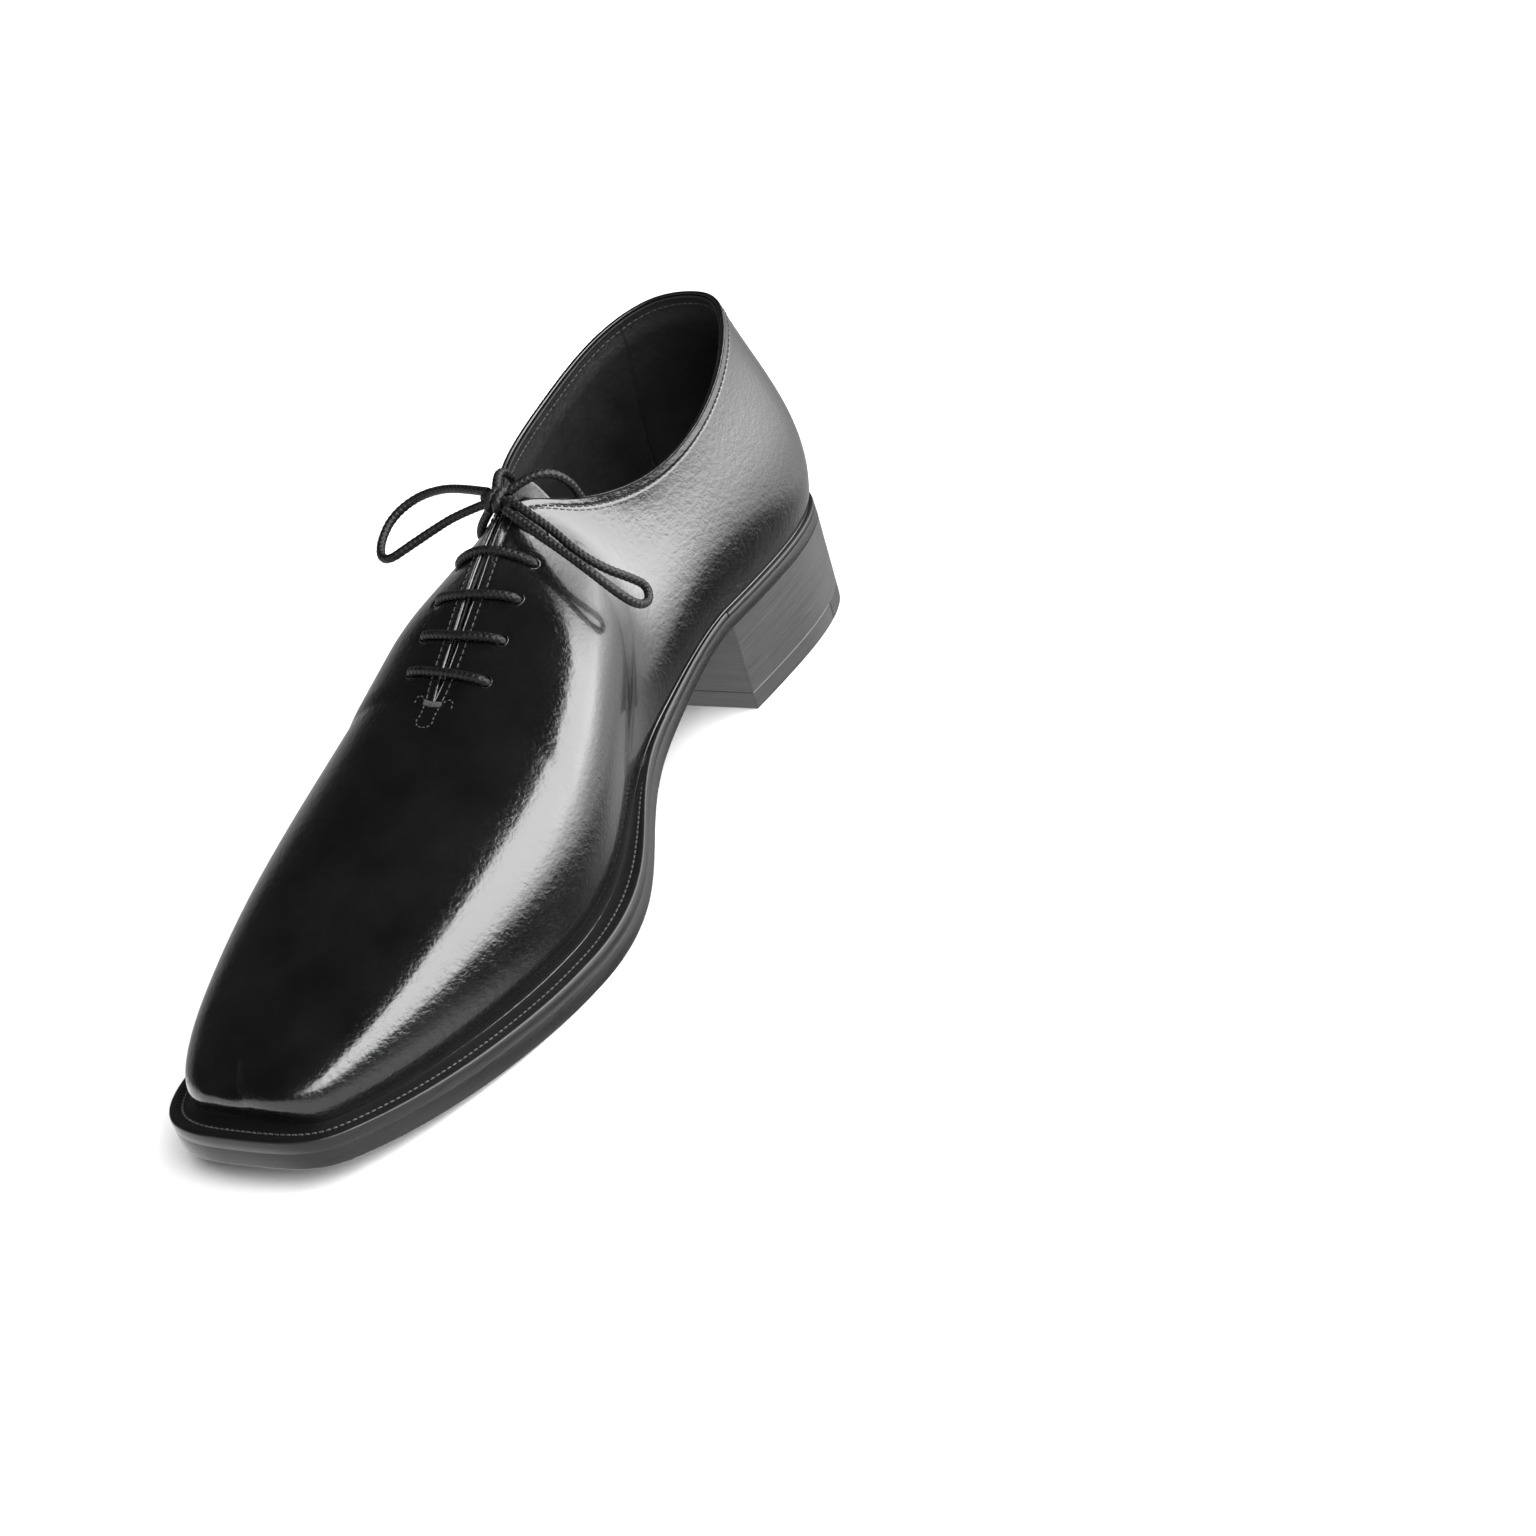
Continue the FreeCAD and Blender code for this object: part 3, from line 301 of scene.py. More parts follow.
def quads(numbers, close_rows=False, close_columns=False):
    """Faces of a grid of point numbers."""
    if close_rows:
        numbers = np.vstack([numbers, numbers[:1]])
    if close_columns:
        numbers = np.hstack([numbers, numbers[:, :1]])
    stack = np.stack([numbers[:-1, :-1], numbers[1:, :-1], numbers[1:, 1:], numbers[:-1, 1:]], axis=-1)
    return stack.reshape(-1, 4).tolist()


def numbered(rows, columns):
    """Point numbers of a grid, row by row."""
    return np.arange(rows * columns).reshape(rows, columns)


def loft(name, loops, material):
    """Skin over a stack of loops, closed at both ends."""
    numbers = numbered(len(loops), len(loops[0]))
    faces = quads(numbers, close_columns=True) + [numbers[0].tolist(), numbers[-1, ::-1].tolist()]
    return mesh_object(name, np.concatenate(loops), faces, material)


def tube(name, rings, material):
    """Skin over rings that turn anticlockwise along their way, closed at both ends."""
    numbers = numbered(len(rings), len(rings[0]))
    faces = quads(numbers[:, ::-1], close_columns=True) + [numbers[0].tolist(), numbers[-1, ::-1].tolist()]
    return mesh_object(name, np.concatenate(rings), faces, material)


def sheet(name, top, bottom, material):
    """Closed mesh between two grids of points with the same rows and columns."""
    numbers = numbered(*top.shape[:2])
    size = numbers.size
    faces = quads(numbers) + [[i + size for i in cell[::-1]] for cell in quads(numbers)]
    border = np.concatenate([numbers[0], numbers[1:, -1], numbers[-1, -2::-1], numbers[-2:0:-1, 0]])
    faces += quads(np.stack([border + size, border]), close_columns=True)
    return mesh_object(name, np.concatenate([top.reshape(-1, 3), bottom.reshape(-1, 3)]), faces, material)


def belongs(piece, slot, *nodes):
    """The piece rides on the shoe and stands for these CAD nodes. slot is not used."""
    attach(piece, "root")
    if nodes:
        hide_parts(*nodes)
    return piece


def wander(points, scale, seed):
    """Smooth random value from -1 to 1 at each millimetre point."""
    shape = points.shape[:-1]
    flat = points.reshape(-1, 3) / scale + seed
    return np.array([noise.noise(Vector(point)) for point in flat]).reshape(shape)


# ---------------------------------------------------------------- materials


def texture(tree, vector, kind, scale, stretch=(1, 1, 1), **inputs):
    """Reading of a procedural noise or cell texture, with its coordinates stretched first."""
    mapping = tree.nodes.new("ShaderNodeMapping")
    mapping.inputs["Scale"].default_value = stretch
    tree.links.new(vector, mapping.inputs["Vector"])
    node = tree.nodes.new("ShaderNodeTex" + kind)
    node.inputs["Scale"].default_value = scale
    for key, value in inputs.items():
        node.inputs[key].default_value = value
    tree.links.new(mapping.outputs["Vector"], node.inputs["Vector"])
    return node.outputs["Fac" if kind == "Noise" else "Distance"]


def ramp(tree, value, stops):
    """Colour ramp of (position, grey or colour) stops."""
    node = tree.nodes.new("ShaderNodeValToRGB")
    elements = node.color_ramp.elements
    while len(elements) < len(stops):
        elements.new(0.5)
    for element, (position, colour) in zip(elements, stops):
        element.position = position
        colour = (colour,) * 3 if isinstance(colour, (int, float)) else colour
        element.color = (*colour, 1)
    tree.links.new(value, node.inputs["Fac"])
    return node.outputs["Color"]


def remap(tree, value, low, high, start=0.0, end=1.0):
    """Number mapped from start..end to low..high."""
    node = tree.nodes.new("ShaderNodeMapRange")
    settings = {"From Min": start, "From Max": end, "To Min": low, "To Max": high}
    for key, setting in settings.items():
        node.inputs[key].default_value = setting
    tree.links.new(value, node.inputs["Value"])
    return node.outputs["Result"]


def noise_of(scale, detail, roughness=0.5, stretch=(1, 1, 1)):
    """Noise texture for a finish."""
    return ("Noise", scale, stretch), {"Detail": float(detail), "Roughness": roughness}


def cells_of(scale):
    """Cell texture for a finish."""
    return ("Voronoi", scale), {}


def finish(name, textures, colour, rough, bumps, **sockets):
    """Procedural material in object coordinates.

    colour is (texture, stops), rough is (texture, low, high, start, end) or a plain number, and bumps
    are (texture, strength, distance in metres). The other values go on the shader's own sockets.
    """
    material = bpy.data.materials.new(name)
    material.use_nodes = True
    tree = material.node_tree
    link = tree.links.new
    shader = tree.nodes["Principled BSDF"]
    vector = tree.nodes.new("ShaderNodeTexCoord").outputs["Object"]
    read = {key: texture(tree, vector, *kind, **inputs) for key, (kind, inputs) in textures.items()}
    link(ramp(tree, read[colour[0]], colour[1]), shader.inputs["Base Color"])
    if isinstance(rough, float):
        shader.inputs["Roughness"].default_value = rough
    else:
        link(remap(tree, read[rough[0]], *rough[1:]), shader.inputs["Roughness"])
    last = None
    for key, strength, distance in bumps:
        node = tree.nodes.new("ShaderNodeBump")
        node.inputs["Strength"].default_value = strength
        node.inputs["Distance"].default_value = distance
        link(read[key], node.inputs["Height"])
        if last is not None:
            link(last, node.inputs["Normal"])
        last = node.outputs["Normal"]
    if last is not None:
        link(last, shader.inputs["Normal"])
    for key, value in sockets.items():
        shader.inputs[key.replace("_", " ")].default_value = value
    return material


def leather(name, dark, light, rough, coat, grain=1.0):
    """Dyed leather: cloudy colour, pores, fine creases and hairline scratches."""
    textures = {"cloud": noise_of(38, 5, 0.6), "wear": noise_of(95, 6, 0.7), "pores": cells_of(2400),
                "pebble": noise_of(1100, 3), "hide": noise_of(520, 3, 0.55),
                "creases": noise_of(150, 4, 0.6, (1, 2.2, 1)), "scratches": noise_of(60, 4, 0.8, (14, 1, 1))}
    bumps = [("creases", 0.3 * grain, 0.00022), ("hide", 0.8 * grain, 0.00024),
             ("pebble", 0.7 * grain, 0.00014), ("pores", 0.3 * grain, 0.00005),
             ("scratches", 0.06 * grain, 0.00008)]
    return finish(name, textures, ("cloud", [(0.3, dark), (0.72, light)]), ("wear", *rough, 0.3, 0.75), bumps,
                  IOR=1.55, Coat_Weight=coat, Coat_Roughness=0.08, Coat_IOR=1.5)


def burnished_edge(name, dark, light, rough, shine=0.5, coat=0.25):
    """Inked and ironed leather edge, with fine lines along it."""
    textures = {"lines": noise_of(60, 6, 0.7, (1, 1, 26)), "cloud": noise_of(45, 4, 0.6),
                "fibres": noise_of(700, 3, 0.6, (1, 1, 3))}
    return finish(name, textures, ("lines", [(0.25, dark), (0.8, light)]), ("cloud", *rough, 0.3, 0.7),
                  [("lines", 0.35, 0.0002), ("fibres", 0.15, 0.0001)],
                  Specular_IOR_Level=shine, Coat_Weight=coat, Coat_Roughness=0.2)


def fibrous(name, dark, light, rough, scale, strength=0.4, sheen=0.0, shine=0.5):
    """Matt fibrous stuff: cork, leather board, cloth backing, thread and braided cord."""
    textures = {"cloud": noise_of(scale, 6, 0.65), "cells": cells_of(scale * 5)}
    return finish(name, textures, ("cloud", [(0.3, dark), (0.7, light)]), ("cloud", *rough, 0.3, 0.7),
                  [("cloud", strength, 0.0003), ("cells", strength * 0.5, 0.0001)],
                  Specular_IOR_Level=shine, Sheen_Weight=sheen, Sheen_Roughness=0.5)


def metal(name, colour, rough):
    """Drawn metal with fine scratches."""
    lighter = tuple(min(1.0, part * 1.25) for part in colour)
    return finish(name, {"lines": noise_of(260, 5, 0.7, (1, 9, 1))},
                  ("lines", [(0.3, colour), (0.7, lighter)]), ("lines", rough, rough + 0.15, 0.3, 0.7),
                  [("lines", 0.2, 0.0001)], Metallic=1.0)


UPPER_LEATHER = leather("black_polished_calf", 0.002, 0.0055, (0.14, 0.25), 0.75)
LINING_LEATHER = leather("black_lining_leather", 0.002, 0.006, (0.5, 0.68), 0.02, 1.2)
TONGUE_LEATHER = leather("tongue_calf", 0.008, 0.018, (0.34, 0.5), 0.1, 1.3)
SOCK_LEATHER = leather("sock_leather", 0.008, 0.018, (0.45, 0.6), 0.05, 1.5)
WELT_LEATHER = burnished_edge("inked_welt", 0.002, 0.005, (0.42, 0.56), 0.12, 0.0)
EDGE_LEATHER = burnished_edge("inked_sole_edge", 0.005, 0.016, (0.22, 0.36), 0.4, 0.16)
HEEL_LEATHER = burnished_edge("inked_heel_stack", 0.02, 0.05, (0.26, 0.4))
INSOLE_BOARD = fibrous("insole_leather_board", (0.22, 0.15, 0.09), (0.34, 0.24, 0.15), (0.6, 0.8), 120)
STIFFENER = fibrous("stiffener_board", (0.2, 0.14, 0.09), (0.3, 0.22, 0.15), (0.65, 0.8), 140)
BACKER = fibrous("backer_cloth", 0.05, 0.09, (0.75, 0.9), 400)
CORK = fibrous("ground_cork", (0.13, 0.07, 0.03), (0.35, 0.21, 0.11), (0.8, 0.95), 320, 0.8)
THREAD = fibrous("waxed_thread", 0.01, 0.04, (0.35, 0.5), 900, 0.3, 0.1)
LACE = fibrous("waxed_lace", 0.0015, 0.007, (0.34, 0.5), 620, 0.3, 0.0, 0.3)
RUBBER = fibrous("tip_rubber", 0.012, 0.03, (0.6, 0.75), 260, 0.3)
# Pale grey painted highlight for the binding on the tongue's top edge, standing in for light reflected there.
BINDING_PAINTED_HIGHLIGHT = fibrous("tongue_binding_painted_highlight", 0.13, 0.24, (0.55, 0.75), 700, 0.5, 0.1)
STEEL = metal("shank_steel", (0.35, 0.35, 0.36), 0.3)
BRASS = metal("nail_brass", (0.55, 0.4, 0.17), 0.25)
TAG_FILM = finish("tag_film", {"wound": noise_of(300, 2, 0.5, (1, 1, 4))},
                  ("wound", [(0.3, 0.01), (0.7, 0.025)]), ("wound", 0.15, 0.3, 0.3, 0.7),
                  [("wound", 0.15, 0.0001)])
FLOOR = finish("studio_floor", {"cloud": noise_of(3, 4)}, ("cloud", [(0.3, 0.8), (0.7, 0.83)]), 0.9, [])

# ---------------------------------------------------------------- leather shells


def graded(parts):
    """Joined runs of numbers from (start, end, count)."""
    runs = [np.linspace(start, end, count, endpoint=False) for start, end, count in parts]
    return np.concatenate(runs + [[parts[-1][1]]])


def round_trip(parts):
    """The same steps on both sides of t = 0."""
    half = graded(parts)
    return np.concatenate([-half[:0:-1], half])


def eyelet_frames():
    """(t, v, point, axis) of each eyelet."""
    frames = []
    for side in (LATERAL, MEDIAL):
        for u, v in EYELETS:
            t = np.array(side * u)
            frames.append((side * u, v, skin(t, v), skin_normal(t, v)))
    return frames


LIP_STEPS = 5


def shell(name, t, v, outer, inner, material, lip, relief=None, ridge=False, toe=False, eyelets=False):
    """Leather between two depths, as one closed mesh.

    outer and inner give depths from grids of t and v. lip is the reach of the rounded top edge, relief
    moves the outer face outwards, ridge joins the two sides in front of the slit, toe joins the last
    row to the first, and eyelets punches the lace holes.
    """
    rows, columns = len(t), len(v)
    grid_t, grid_v = np.meshgrid(t, v, indexing="ij")
    base, normal = skin(grid_t, grid_v), skin_normal(grid_t, grid_v)
    if toe:
        base, normal = eased_toe(t, v, base, normal)
    outer_depth, inner_depth = outer(grid_t, grid_v), inner(grid_t, grid_v)
    raised = relief(grid_t, grid_v, base) if relief else 0
    outside = base - normal * (outer_depth - raised)[..., None]
    inside = base - normal * inner_depth[..., None]
    numbers = numbered(rows, columns)
    size = numbers.size
    weld = numbers.copy()
    if ridge:
        joined = (np.abs(t) >= SLIT_END - 1e-9) & (t < 0)
        weld[joined, -1] = numbers[::-1][joined, -1]
    if toe:
        weld[0] = weld[-1]
    open_cell = np.zeros((rows - 1, columns - 1), bool)
    if eyelets:
        outside, inside, open_cell = punch(outside, inside, t, v)
    cells = [cell for cell, hole in zip(quads(weld), open_cell.reshape(-1)) if not hole]
    faces = cells + [[i + size for i in cell[::-1]] for cell in cells] + tunnel(weld, open_cell, size)

    turns = np.linspace(0, math.pi, LIP_STEPS + 2)[1:-1]
    upward = unit(skin(t, np.full(rows, v[-1])) - skin(t, np.full(rows, v[-1] - 0.01)))
    half = (inner_depth[:, -1] - outer_depth[:, -1])[:, None] / 2
    lips = [outside[:, -1] - normal[:, -1] * half * (1 - math.cos(a)) + upward * lip * math.sin(a)
            for a in turns]
    lip_rows = [weld[:, -1]] + list(2 * size + numbered(LIP_STEPS, rows)) + [weld[:, -1] + size]
    middle = np.abs((t[:-1] + t[1:]) / 2)
    for first, second in zip(lip_rows, lip_rows[1:]):
        for i in range(rows - 1):
            if not ridge or middle[i] < SLIT_END:
                faces.append([first[i], second[i], second[i + 1], first[i + 1]])
    faces += quads(np.stack([weld[:, 0] + size, weld[:, 0]]))
    if not toe:
        faces += quads(np.stack([weld[0], weld[0] + size]))
        faces += quads(np.stack([weld[-1] + size, weld[-1]]))
    points = np.concatenate([outside.reshape(-1, 3), inside.reshape(-1, 3)] + lips)
    return mesh_object(name, points, [[int(i) for i in face] for face in faces], material)


# The toe is eased over these values of t, by this much of t on each side.
TOE_EASE, TOE_EASE_REACH = (0.945, 0.985), 0.026


def eased_toe(t, v, base, normal):
    """Rounds off the line where the two halves meet at the toe, by averaging along the feather line."""
    rows = np.where(np.abs(t) > TOE_EASE[0])[0]
    reach = TOE_EASE_REACH * ease(np.abs(t[rows]), *TOE_EASE)
    steps = np.linspace(-2, 2, 13)
    weights = np.exp(-steps * steps / 2)
    weights /= weights.sum()
    eased, turned = np.zeros_like(base[rows]), np.zeros_like(base[rows])
    for step, weight in zip(steps, weights):
        moved = t[rows] + reach * step
        moved = np.where(moved > 1, moved - 2, np.where(moved < -1, moved + 2, moved))
        grid = np.meshgrid(moved, v, indexing="ij")
        eased += weight * skin(*grid)
        turned += weight * skin_normal(*grid)
    base, normal = base.copy(), normal.copy()
    base[rows], normal[rows] = eased, unit(turned)
    return base, normal


# The leather round an eyelet sinks a little: how far out, how deep, and how deep at the hole itself.
RIM_REACH, RIM_SINK, RIM_DROP = 0.9, 0.3, 0.32


def punch(outside, inside, t, v):
    """Open the cells inside each eyelet, and draw the points round them onto its circle."""
    open_cell = np.zeros((len(t) - 1, len(v) - 1), bool)
    outside, inside = outside.copy(), inside.copy()
    for eye_t, eye_v, centre, axis in eyelet_frames():
        if not t[0] < eye_t < t[-1]:
            continue
        near_t = np.where(np.abs(t - eye_t) < 0.03)[0]
        near_v = np.where(np.abs(v - eye_v) < 0.09)[0]
        block = np.ix_(near_t, near_v)
        rim = None
        for face_points in (outside, inside):
            offset = face_points[block] - centre
            along = (offset @ axis)[..., None] * axis
            flat = offset - along
            distance = np.linalg.norm(flat, axis=-1)
            if rim is None:
                within = (distance < EYELET_RADIUS).astype(int)
                hole = within[:-1, :-1] + within[1:, :-1] + within[1:, 1:] + within[:-1, 1:] >= 2
                rim = corners_of(hole) & corners_of(~hole)
            moved = flat / np.maximum(distance, 1e-9)[..., None] * EYELET_RADIUS
            beyond = distance - EYELET_RADIUS
            soft = np.exp(-(beyond / RIM_REACH) ** 2) * (beyond >= 0) * RIM_SINK
            new = centre + along + np.where(rim[..., None], moved, flat)
            face_points[block] = new - axis * np.where(rim, RIM_DROP, soft)[..., None]
        open_cell[np.ix_(near_t[:-1], near_v[:-1])] |= hole
    return outside, inside, open_cell


def corners_of(cells):
    """The points of a grid that are a corner of a marked cell."""
    rows, columns = cells.shape
    corners = np.zeros((rows + 1, columns + 1), bool)
    for i in (0, 1):
        for j in (0, 1):
            corners[i:i + rows, j:j + columns] |= cells
    return corners


def tunnel(numbers, open_cell, size):
    """Walls of the punched holes, between the outer and the inner face."""
    faces = []
    rows, columns = open_cell.shape
    for i, j in zip(*np.where(open_cell)):
        around = [((i - 1, j), (i, j), (i, j + 1)), ((i, j + 1), (i, j + 1), (i + 1, j + 1)),
                  ((i + 1, j), (i + 1, j + 1), (i + 1, j)), ((i, j - 1), (i + 1, j), (i, j))]
        for (a, b), first, second in around:
            if 0 <= a < rows and 0 <= b < columns and not open_cell[a, b]:
                one, two = numbers[first], numbers[second]
                faces.append([one, two, two + size, one + size])
    return faces


def along_top(distance):
    """v of a line below the topline and slit edge, as a smooth function of t."""
    knots = np.linspace(-SLIT_END, SLIT_END, 121)
    values = v_below_top(knots, distance)
    return lambda t: np.interp(t, knots, values)


STITCH_DROP, SECOND_DROP = 2.7, 4.1
stitch_v = along_top(STITCH_DROP)
second_v = along_top(SECOND_DROP)
# The channel's width is measured as if the leather were this high from welt to topline.
SIDE_HEIGHT, CHANNEL_WIDTH, CHANNEL_DEPTH = 95, 0.55, 0.16
FOLD_DEPTH = 0.03


def leather_relief(t, v, base):
    """Slight unevenness of hide, the stitch channel along the top, and flex folds at the waist."""
    raised = 0.05 * wander(base, 26.0, 3.0) + 0.018 * wander(base, 7.0, 9.0)
    from_stitches = (v - stitch_v(t)) * SIDE_HEIGHT
    raised -= CHANNEL_DEPTH * np.exp(-(from_stitches / CHANNEL_WIDTH) ** 2) * (np.abs(t) < SLIT_END)
    forward = CENTRE_FORWARD - base[..., 1]
    waist = np.exp(-((forward - 150) / 26) ** 2) * np.exp(-((v - 0.42) / 0.22) ** 2)
    folds = np.sin((forward * 0.9 + base[..., 2] * 0.8) / 3.6 + 2.5 * wander(base, 18.0, 21.0))
    return raised + FOLD_DEPTH * waist * folds


def flat_depth(value):
    """The same depth everywhere."""
    return lambda t, v: np.full_like(t, value)


def make_upper():
    """Whole-cut upper with its rolled topline, punched eyelets and closed slit end."""
    t = round_trip([(0, 0.4, 130), (0.4, 0.6, 170), (0.6, 0.88, 90), (0.88, 1, 70)])
    v = graded([(0, 0.1, 8), (0.1, 0.82, 52), (0.82, 1, 62)])
    upper = shell("upper_leather", t, v, flat_depth(0.0), flat_depth(UPPER_DEPTH), UPPER_LEATHER,
                  lip=0.5, relief=leather_relief, ridge=True, toe=True, eyelets=True)
    return belongs(upper, "upper_leather", "upper")


def lining_depth(base):
    """Lining depth, brought up against the upper along the topline."""
    def depth(t, v):
        near_top = ease(v, 0.86, 0.97) * (1 - ease(np.abs(t), 0.37, 0.41))
        return base - (LINING_TOP - UPPER_DEPTH - 0.05) * near_top
    return depth


# The heel lining meets the quarter linings at this t on each side.
LINING_SEAM = 0.1012


def make_linings():
    """Heel and quarter linings, with their rounded top edge."""
    v = graded([(0, 0.82, 34), (0.82, 0.992, 46)])
    depths = (lining_depth(LINING_TOP), lining_depth(LINING_BASE))
    heel_t = np.linspace(-LINING_SEAM, LINING_SEAM, 70)
    heel = shell("heel_lining_leather", heel_t, v, *depths, LINING_LEATHER, lip=0.3)
    belongs(heel, "lining_leather", "heel_lining")
    lateral_t = graded([(LINING_SEAM, 0.4, 90), (0.4, 0.598, 150)])
    for t, name in ((lateral_t, "lateral"), (-lateral_t[::-1], "medial")):
        quarter = shell("quarter_lining_leather_" + name, t, v, *depths, LINING_LEATHER, lip=0.3,
                        eyelets=True)
        belongs(quarter, "lining_leather", "quarter_lining_" + name)


# ---------------------------------------------------------------- stitches


def travel(points):
    """Distance gone along a line at each of its points."""
    return np.concatenate([[0], np.cumsum(np.linalg.norm(np.diff(points, axis=0), axis=1))])


def even(points, spacing):
    """Points at an even spacing along a line, with its directions and the distances gone."""
    along = travel(points)
    count = max(2, int(round(along[-1] / spacing)) + 1)
    wanted = np.linspace(0, along[-1], count)
    spread = np.stack([np.interp(wanted, along, points[:, k]) for k in range(3)], axis=1)
    direction = unit(np.gradient(spread, axis=0))
    return spread, direction, wanted


def stitches(name, lines, length, width, nodes=()):
    """Thread stitches: each is a small bead drawn out along its line and half sunk in the leather."""
    rings, around = 7, 8
    turn = np.linspace(0, math.pi, rings)
    angle = np.linspace(0, 2 * math.pi, around, endpoint=False)[:, None]
    points, faces = [], []
    count = 0
    for centres, directions, normals in lines:
        across = unit(np.cross(directions, normals))
        up = np.cross(across, directions)
        for centre, forward, sideways, outward in zip(centres, directions, across, up):
            for position, fat in zip(-np.cos(turn), np.sin(turn) ** 0.55):
                ring = centre + forward * position * length / 2 + outward * 0.12 * (1 - position * position)
                points.append(ring + (np.cos(angle) * sideways * fat * width / 2
                                      + np.sin(angle) * outward * fat * width * 0.42))
            faces += quads(count + numbered(rings, around), close_columns=True)
            count += rings * around
    return belongs(mesh_object(name, np.concatenate(points), faces, THREAD), "thread", *nodes)


STITCH_PITCH, STITCH_LENGTH, STITCH_WIDTH = 2.15, 1.75, 0.42


def surface_row(t, v, depth):
    """Stitch places along a line at a depth under the upper: points, directions and normals."""
    fine = layer(t, v, np.full(len(t), depth))
    spread, direction, along = even(fine, STITCH_PITCH)
    travelled = travel(fine)
    return spread, direction, skin_normal(np.interp(along, travelled, t), np.interp(along, travelled, v))


def make_stitching():
    """Rows along the topline and the slit, a second row at the throat, and the row inside the lining."""
    t = np.linspace(-0.592, 0.592, 900)
    rows = [surface_row(t, stitch_v(t), 0.02)]
    for mask in ((t < -0.3) & (t > -0.425), (t > 0.3) & (t < 0.425)):
        rows.append(surface_row(t[mask], second_v(t[mask]), -0.02))
    stitches("topline_stitching", rows, STITCH_LENGTH, STITCH_WIDTH)
    collar = t[np.abs(t) < 0.4]
    points, directions, normals = surface_row(collar, stitch_v(collar), LINING_BASE - 0.8)
    stitches("lining_stitching", [(points, directions, -normals)], STITCH_LENGTH, STITCH_WIDTH)


RIDGE_U = np.linspace(0.45, 1, 400)
BEHIND_SLIT_END = TOP[LATERAL](np.minimum(RIDGE_U, SLIT_END))[:, 0]
RIDGE_S = np.where(RIDGE_U < SLIT_END, BEHIND_SLIT_END, RIDGE_LINE(RIDGE_U)[:, 0])
SLIT_END_S = 176.0


def on_vamp(forward, across):
    """Point and normal on the vamp, millimetres forward of the slit end and across from the ridge."""
    u = np.interp(SLIT_END_S + np.asarray(forward, float), RIDGE_S, RIDGE_U)
    t = np.where(np.asarray(across) >= 0, u, -u)
    v = v_below_top(t, np.abs(across))
    return skin(t, v), skin_normal(t, v)


# Stitching round the slit end, as (forward, across) in millimetres: two wings and the loop in front of them.
WING = [(-0.4, 2.8), (-1.4, 3.6), (-2.0, 4.9), (-1.6, 6.2), (-0.2, 6.9)]
FRONT_LOOP = [(-0.6, 2.9), (1.4, 2.7), (3.2, 2.6), (5.0, 2.9), (6.2, 1.6), (6.3, 0), (6.2, -1.6), (5.0, -2.9),
              (3.2, -2.6), (1.4, -2.7), (-0.6, -2.9)]
TACK_WRAPS, TACK_HALF_WIDTH, TACK_FORWARD = 14, 2.9, -0.6


def make_bar_tack():
    """Close thread wraps over the slit end, with the curved stitches around them."""
    lines = []
    for route in (WING, [(forward, -across) for forward, across in WING], FRONT_LOOP):
        count = len(route)
        smooth = Curve(np.column_stack([np.arange(count), route]))(np.linspace(0, count - 1, 80))
        points, normals = on_vamp(smooth[:, 0], smooth[:, 1])
        spread, direction, _ = even(points, 1.5)
        picked = np.linspace(0, len(points) - 1, len(spread)).round().astype(int)
        lines.append((spread, direction, normals[picked]))
    stitches("slit_end_stitching", lines, 0.95, 0.4)
    wraps = np.linspace(-TACK_HALF_WIDTH, TACK_HALF_WIDTH, TACK_WRAPS)
    points, normals = on_vamp(np.full(TACK_WRAPS, TACK_FORWARD), wraps)
    forward = unit(np.tile([0.0, -1.0, -0.42], (TACK_WRAPS, 1)))
    stitches("bar_tack_thread", [(points + normals * 0.28, forward, normals)], 1.9, 0.56, ["bar_tack"])


# ---------------------------------------------------------------- tongue


TONGUE_RISE, TONGUE_THICKNESS = 12.0, 1.8
TONGUE_DEPTH = LINING_BASE + 2 * LACE_RADIUS + 0.3


def tongue_face(depth):
    """One face of the tongue as a grid, from its free top edge down, at a depth under the upper's face."""
    u = graded([(0.41, 0.62, 60)])
    v = graded([(0.72, 0.91, 26)])
    near, far = (layer(*np.meshgrid(u * side, v, indexing="ij"), np.full((len(u), len(v)), depth))
                 for side in (MEDIAL, LATERAL))
    middle = sum(layer(u * side, np.ones_like(u), np.full_like(u, depth)) for side in (MEDIAL, LATERAL)) / 2
    near_edge, far_edge = near[:, -1], far[:, -1]
    near_slope = (near_edge - near[:, -2]) * 12
    far_slope = (far[:, -2] - far_edge) * 12
    peak = middle - (near_edge + far_edge) / 2 - (near_slope - far_slope) / 8
    bridge = []
    for share in np.linspace(0, 1, 14)[1:-1]:
        over = 3 * share ** 2 - 2 * share ** 3
        ends = near_edge * (1 - over) + far_edge * over
        slopes = near_slope * (share ** 3 - 2 * share ** 2 + share) + far_slope * (share ** 3 - share ** 2)
        bridge.append(ends + slopes + peak * (16 * share ** 2 * (1 - share) ** 2) * 0.55)
    body = np.concatenate([near, np.stack(bridge, axis=1), far[:, ::-1]], axis=1)
    across = np.linspace(-1, 1, body.shape[1])
    corner = (1 - 0.3 * np.abs(across) ** 3)[:, None]
    added = []
    for share in np.linspace(1, 0, 14)[:-1]:
        rise = np.array([0, 0.93 - 0.2 * share, 0.36 + 0.3 * share]) * TONGUE_RISE * share
        curl = np.outer(np.sin(across * 4.0) * 0.35 * share ** 2, [0, 0, 1.0])
        added.append(body[0] + rise * corner + curl)
    return np.concatenate([np.array(added), body])


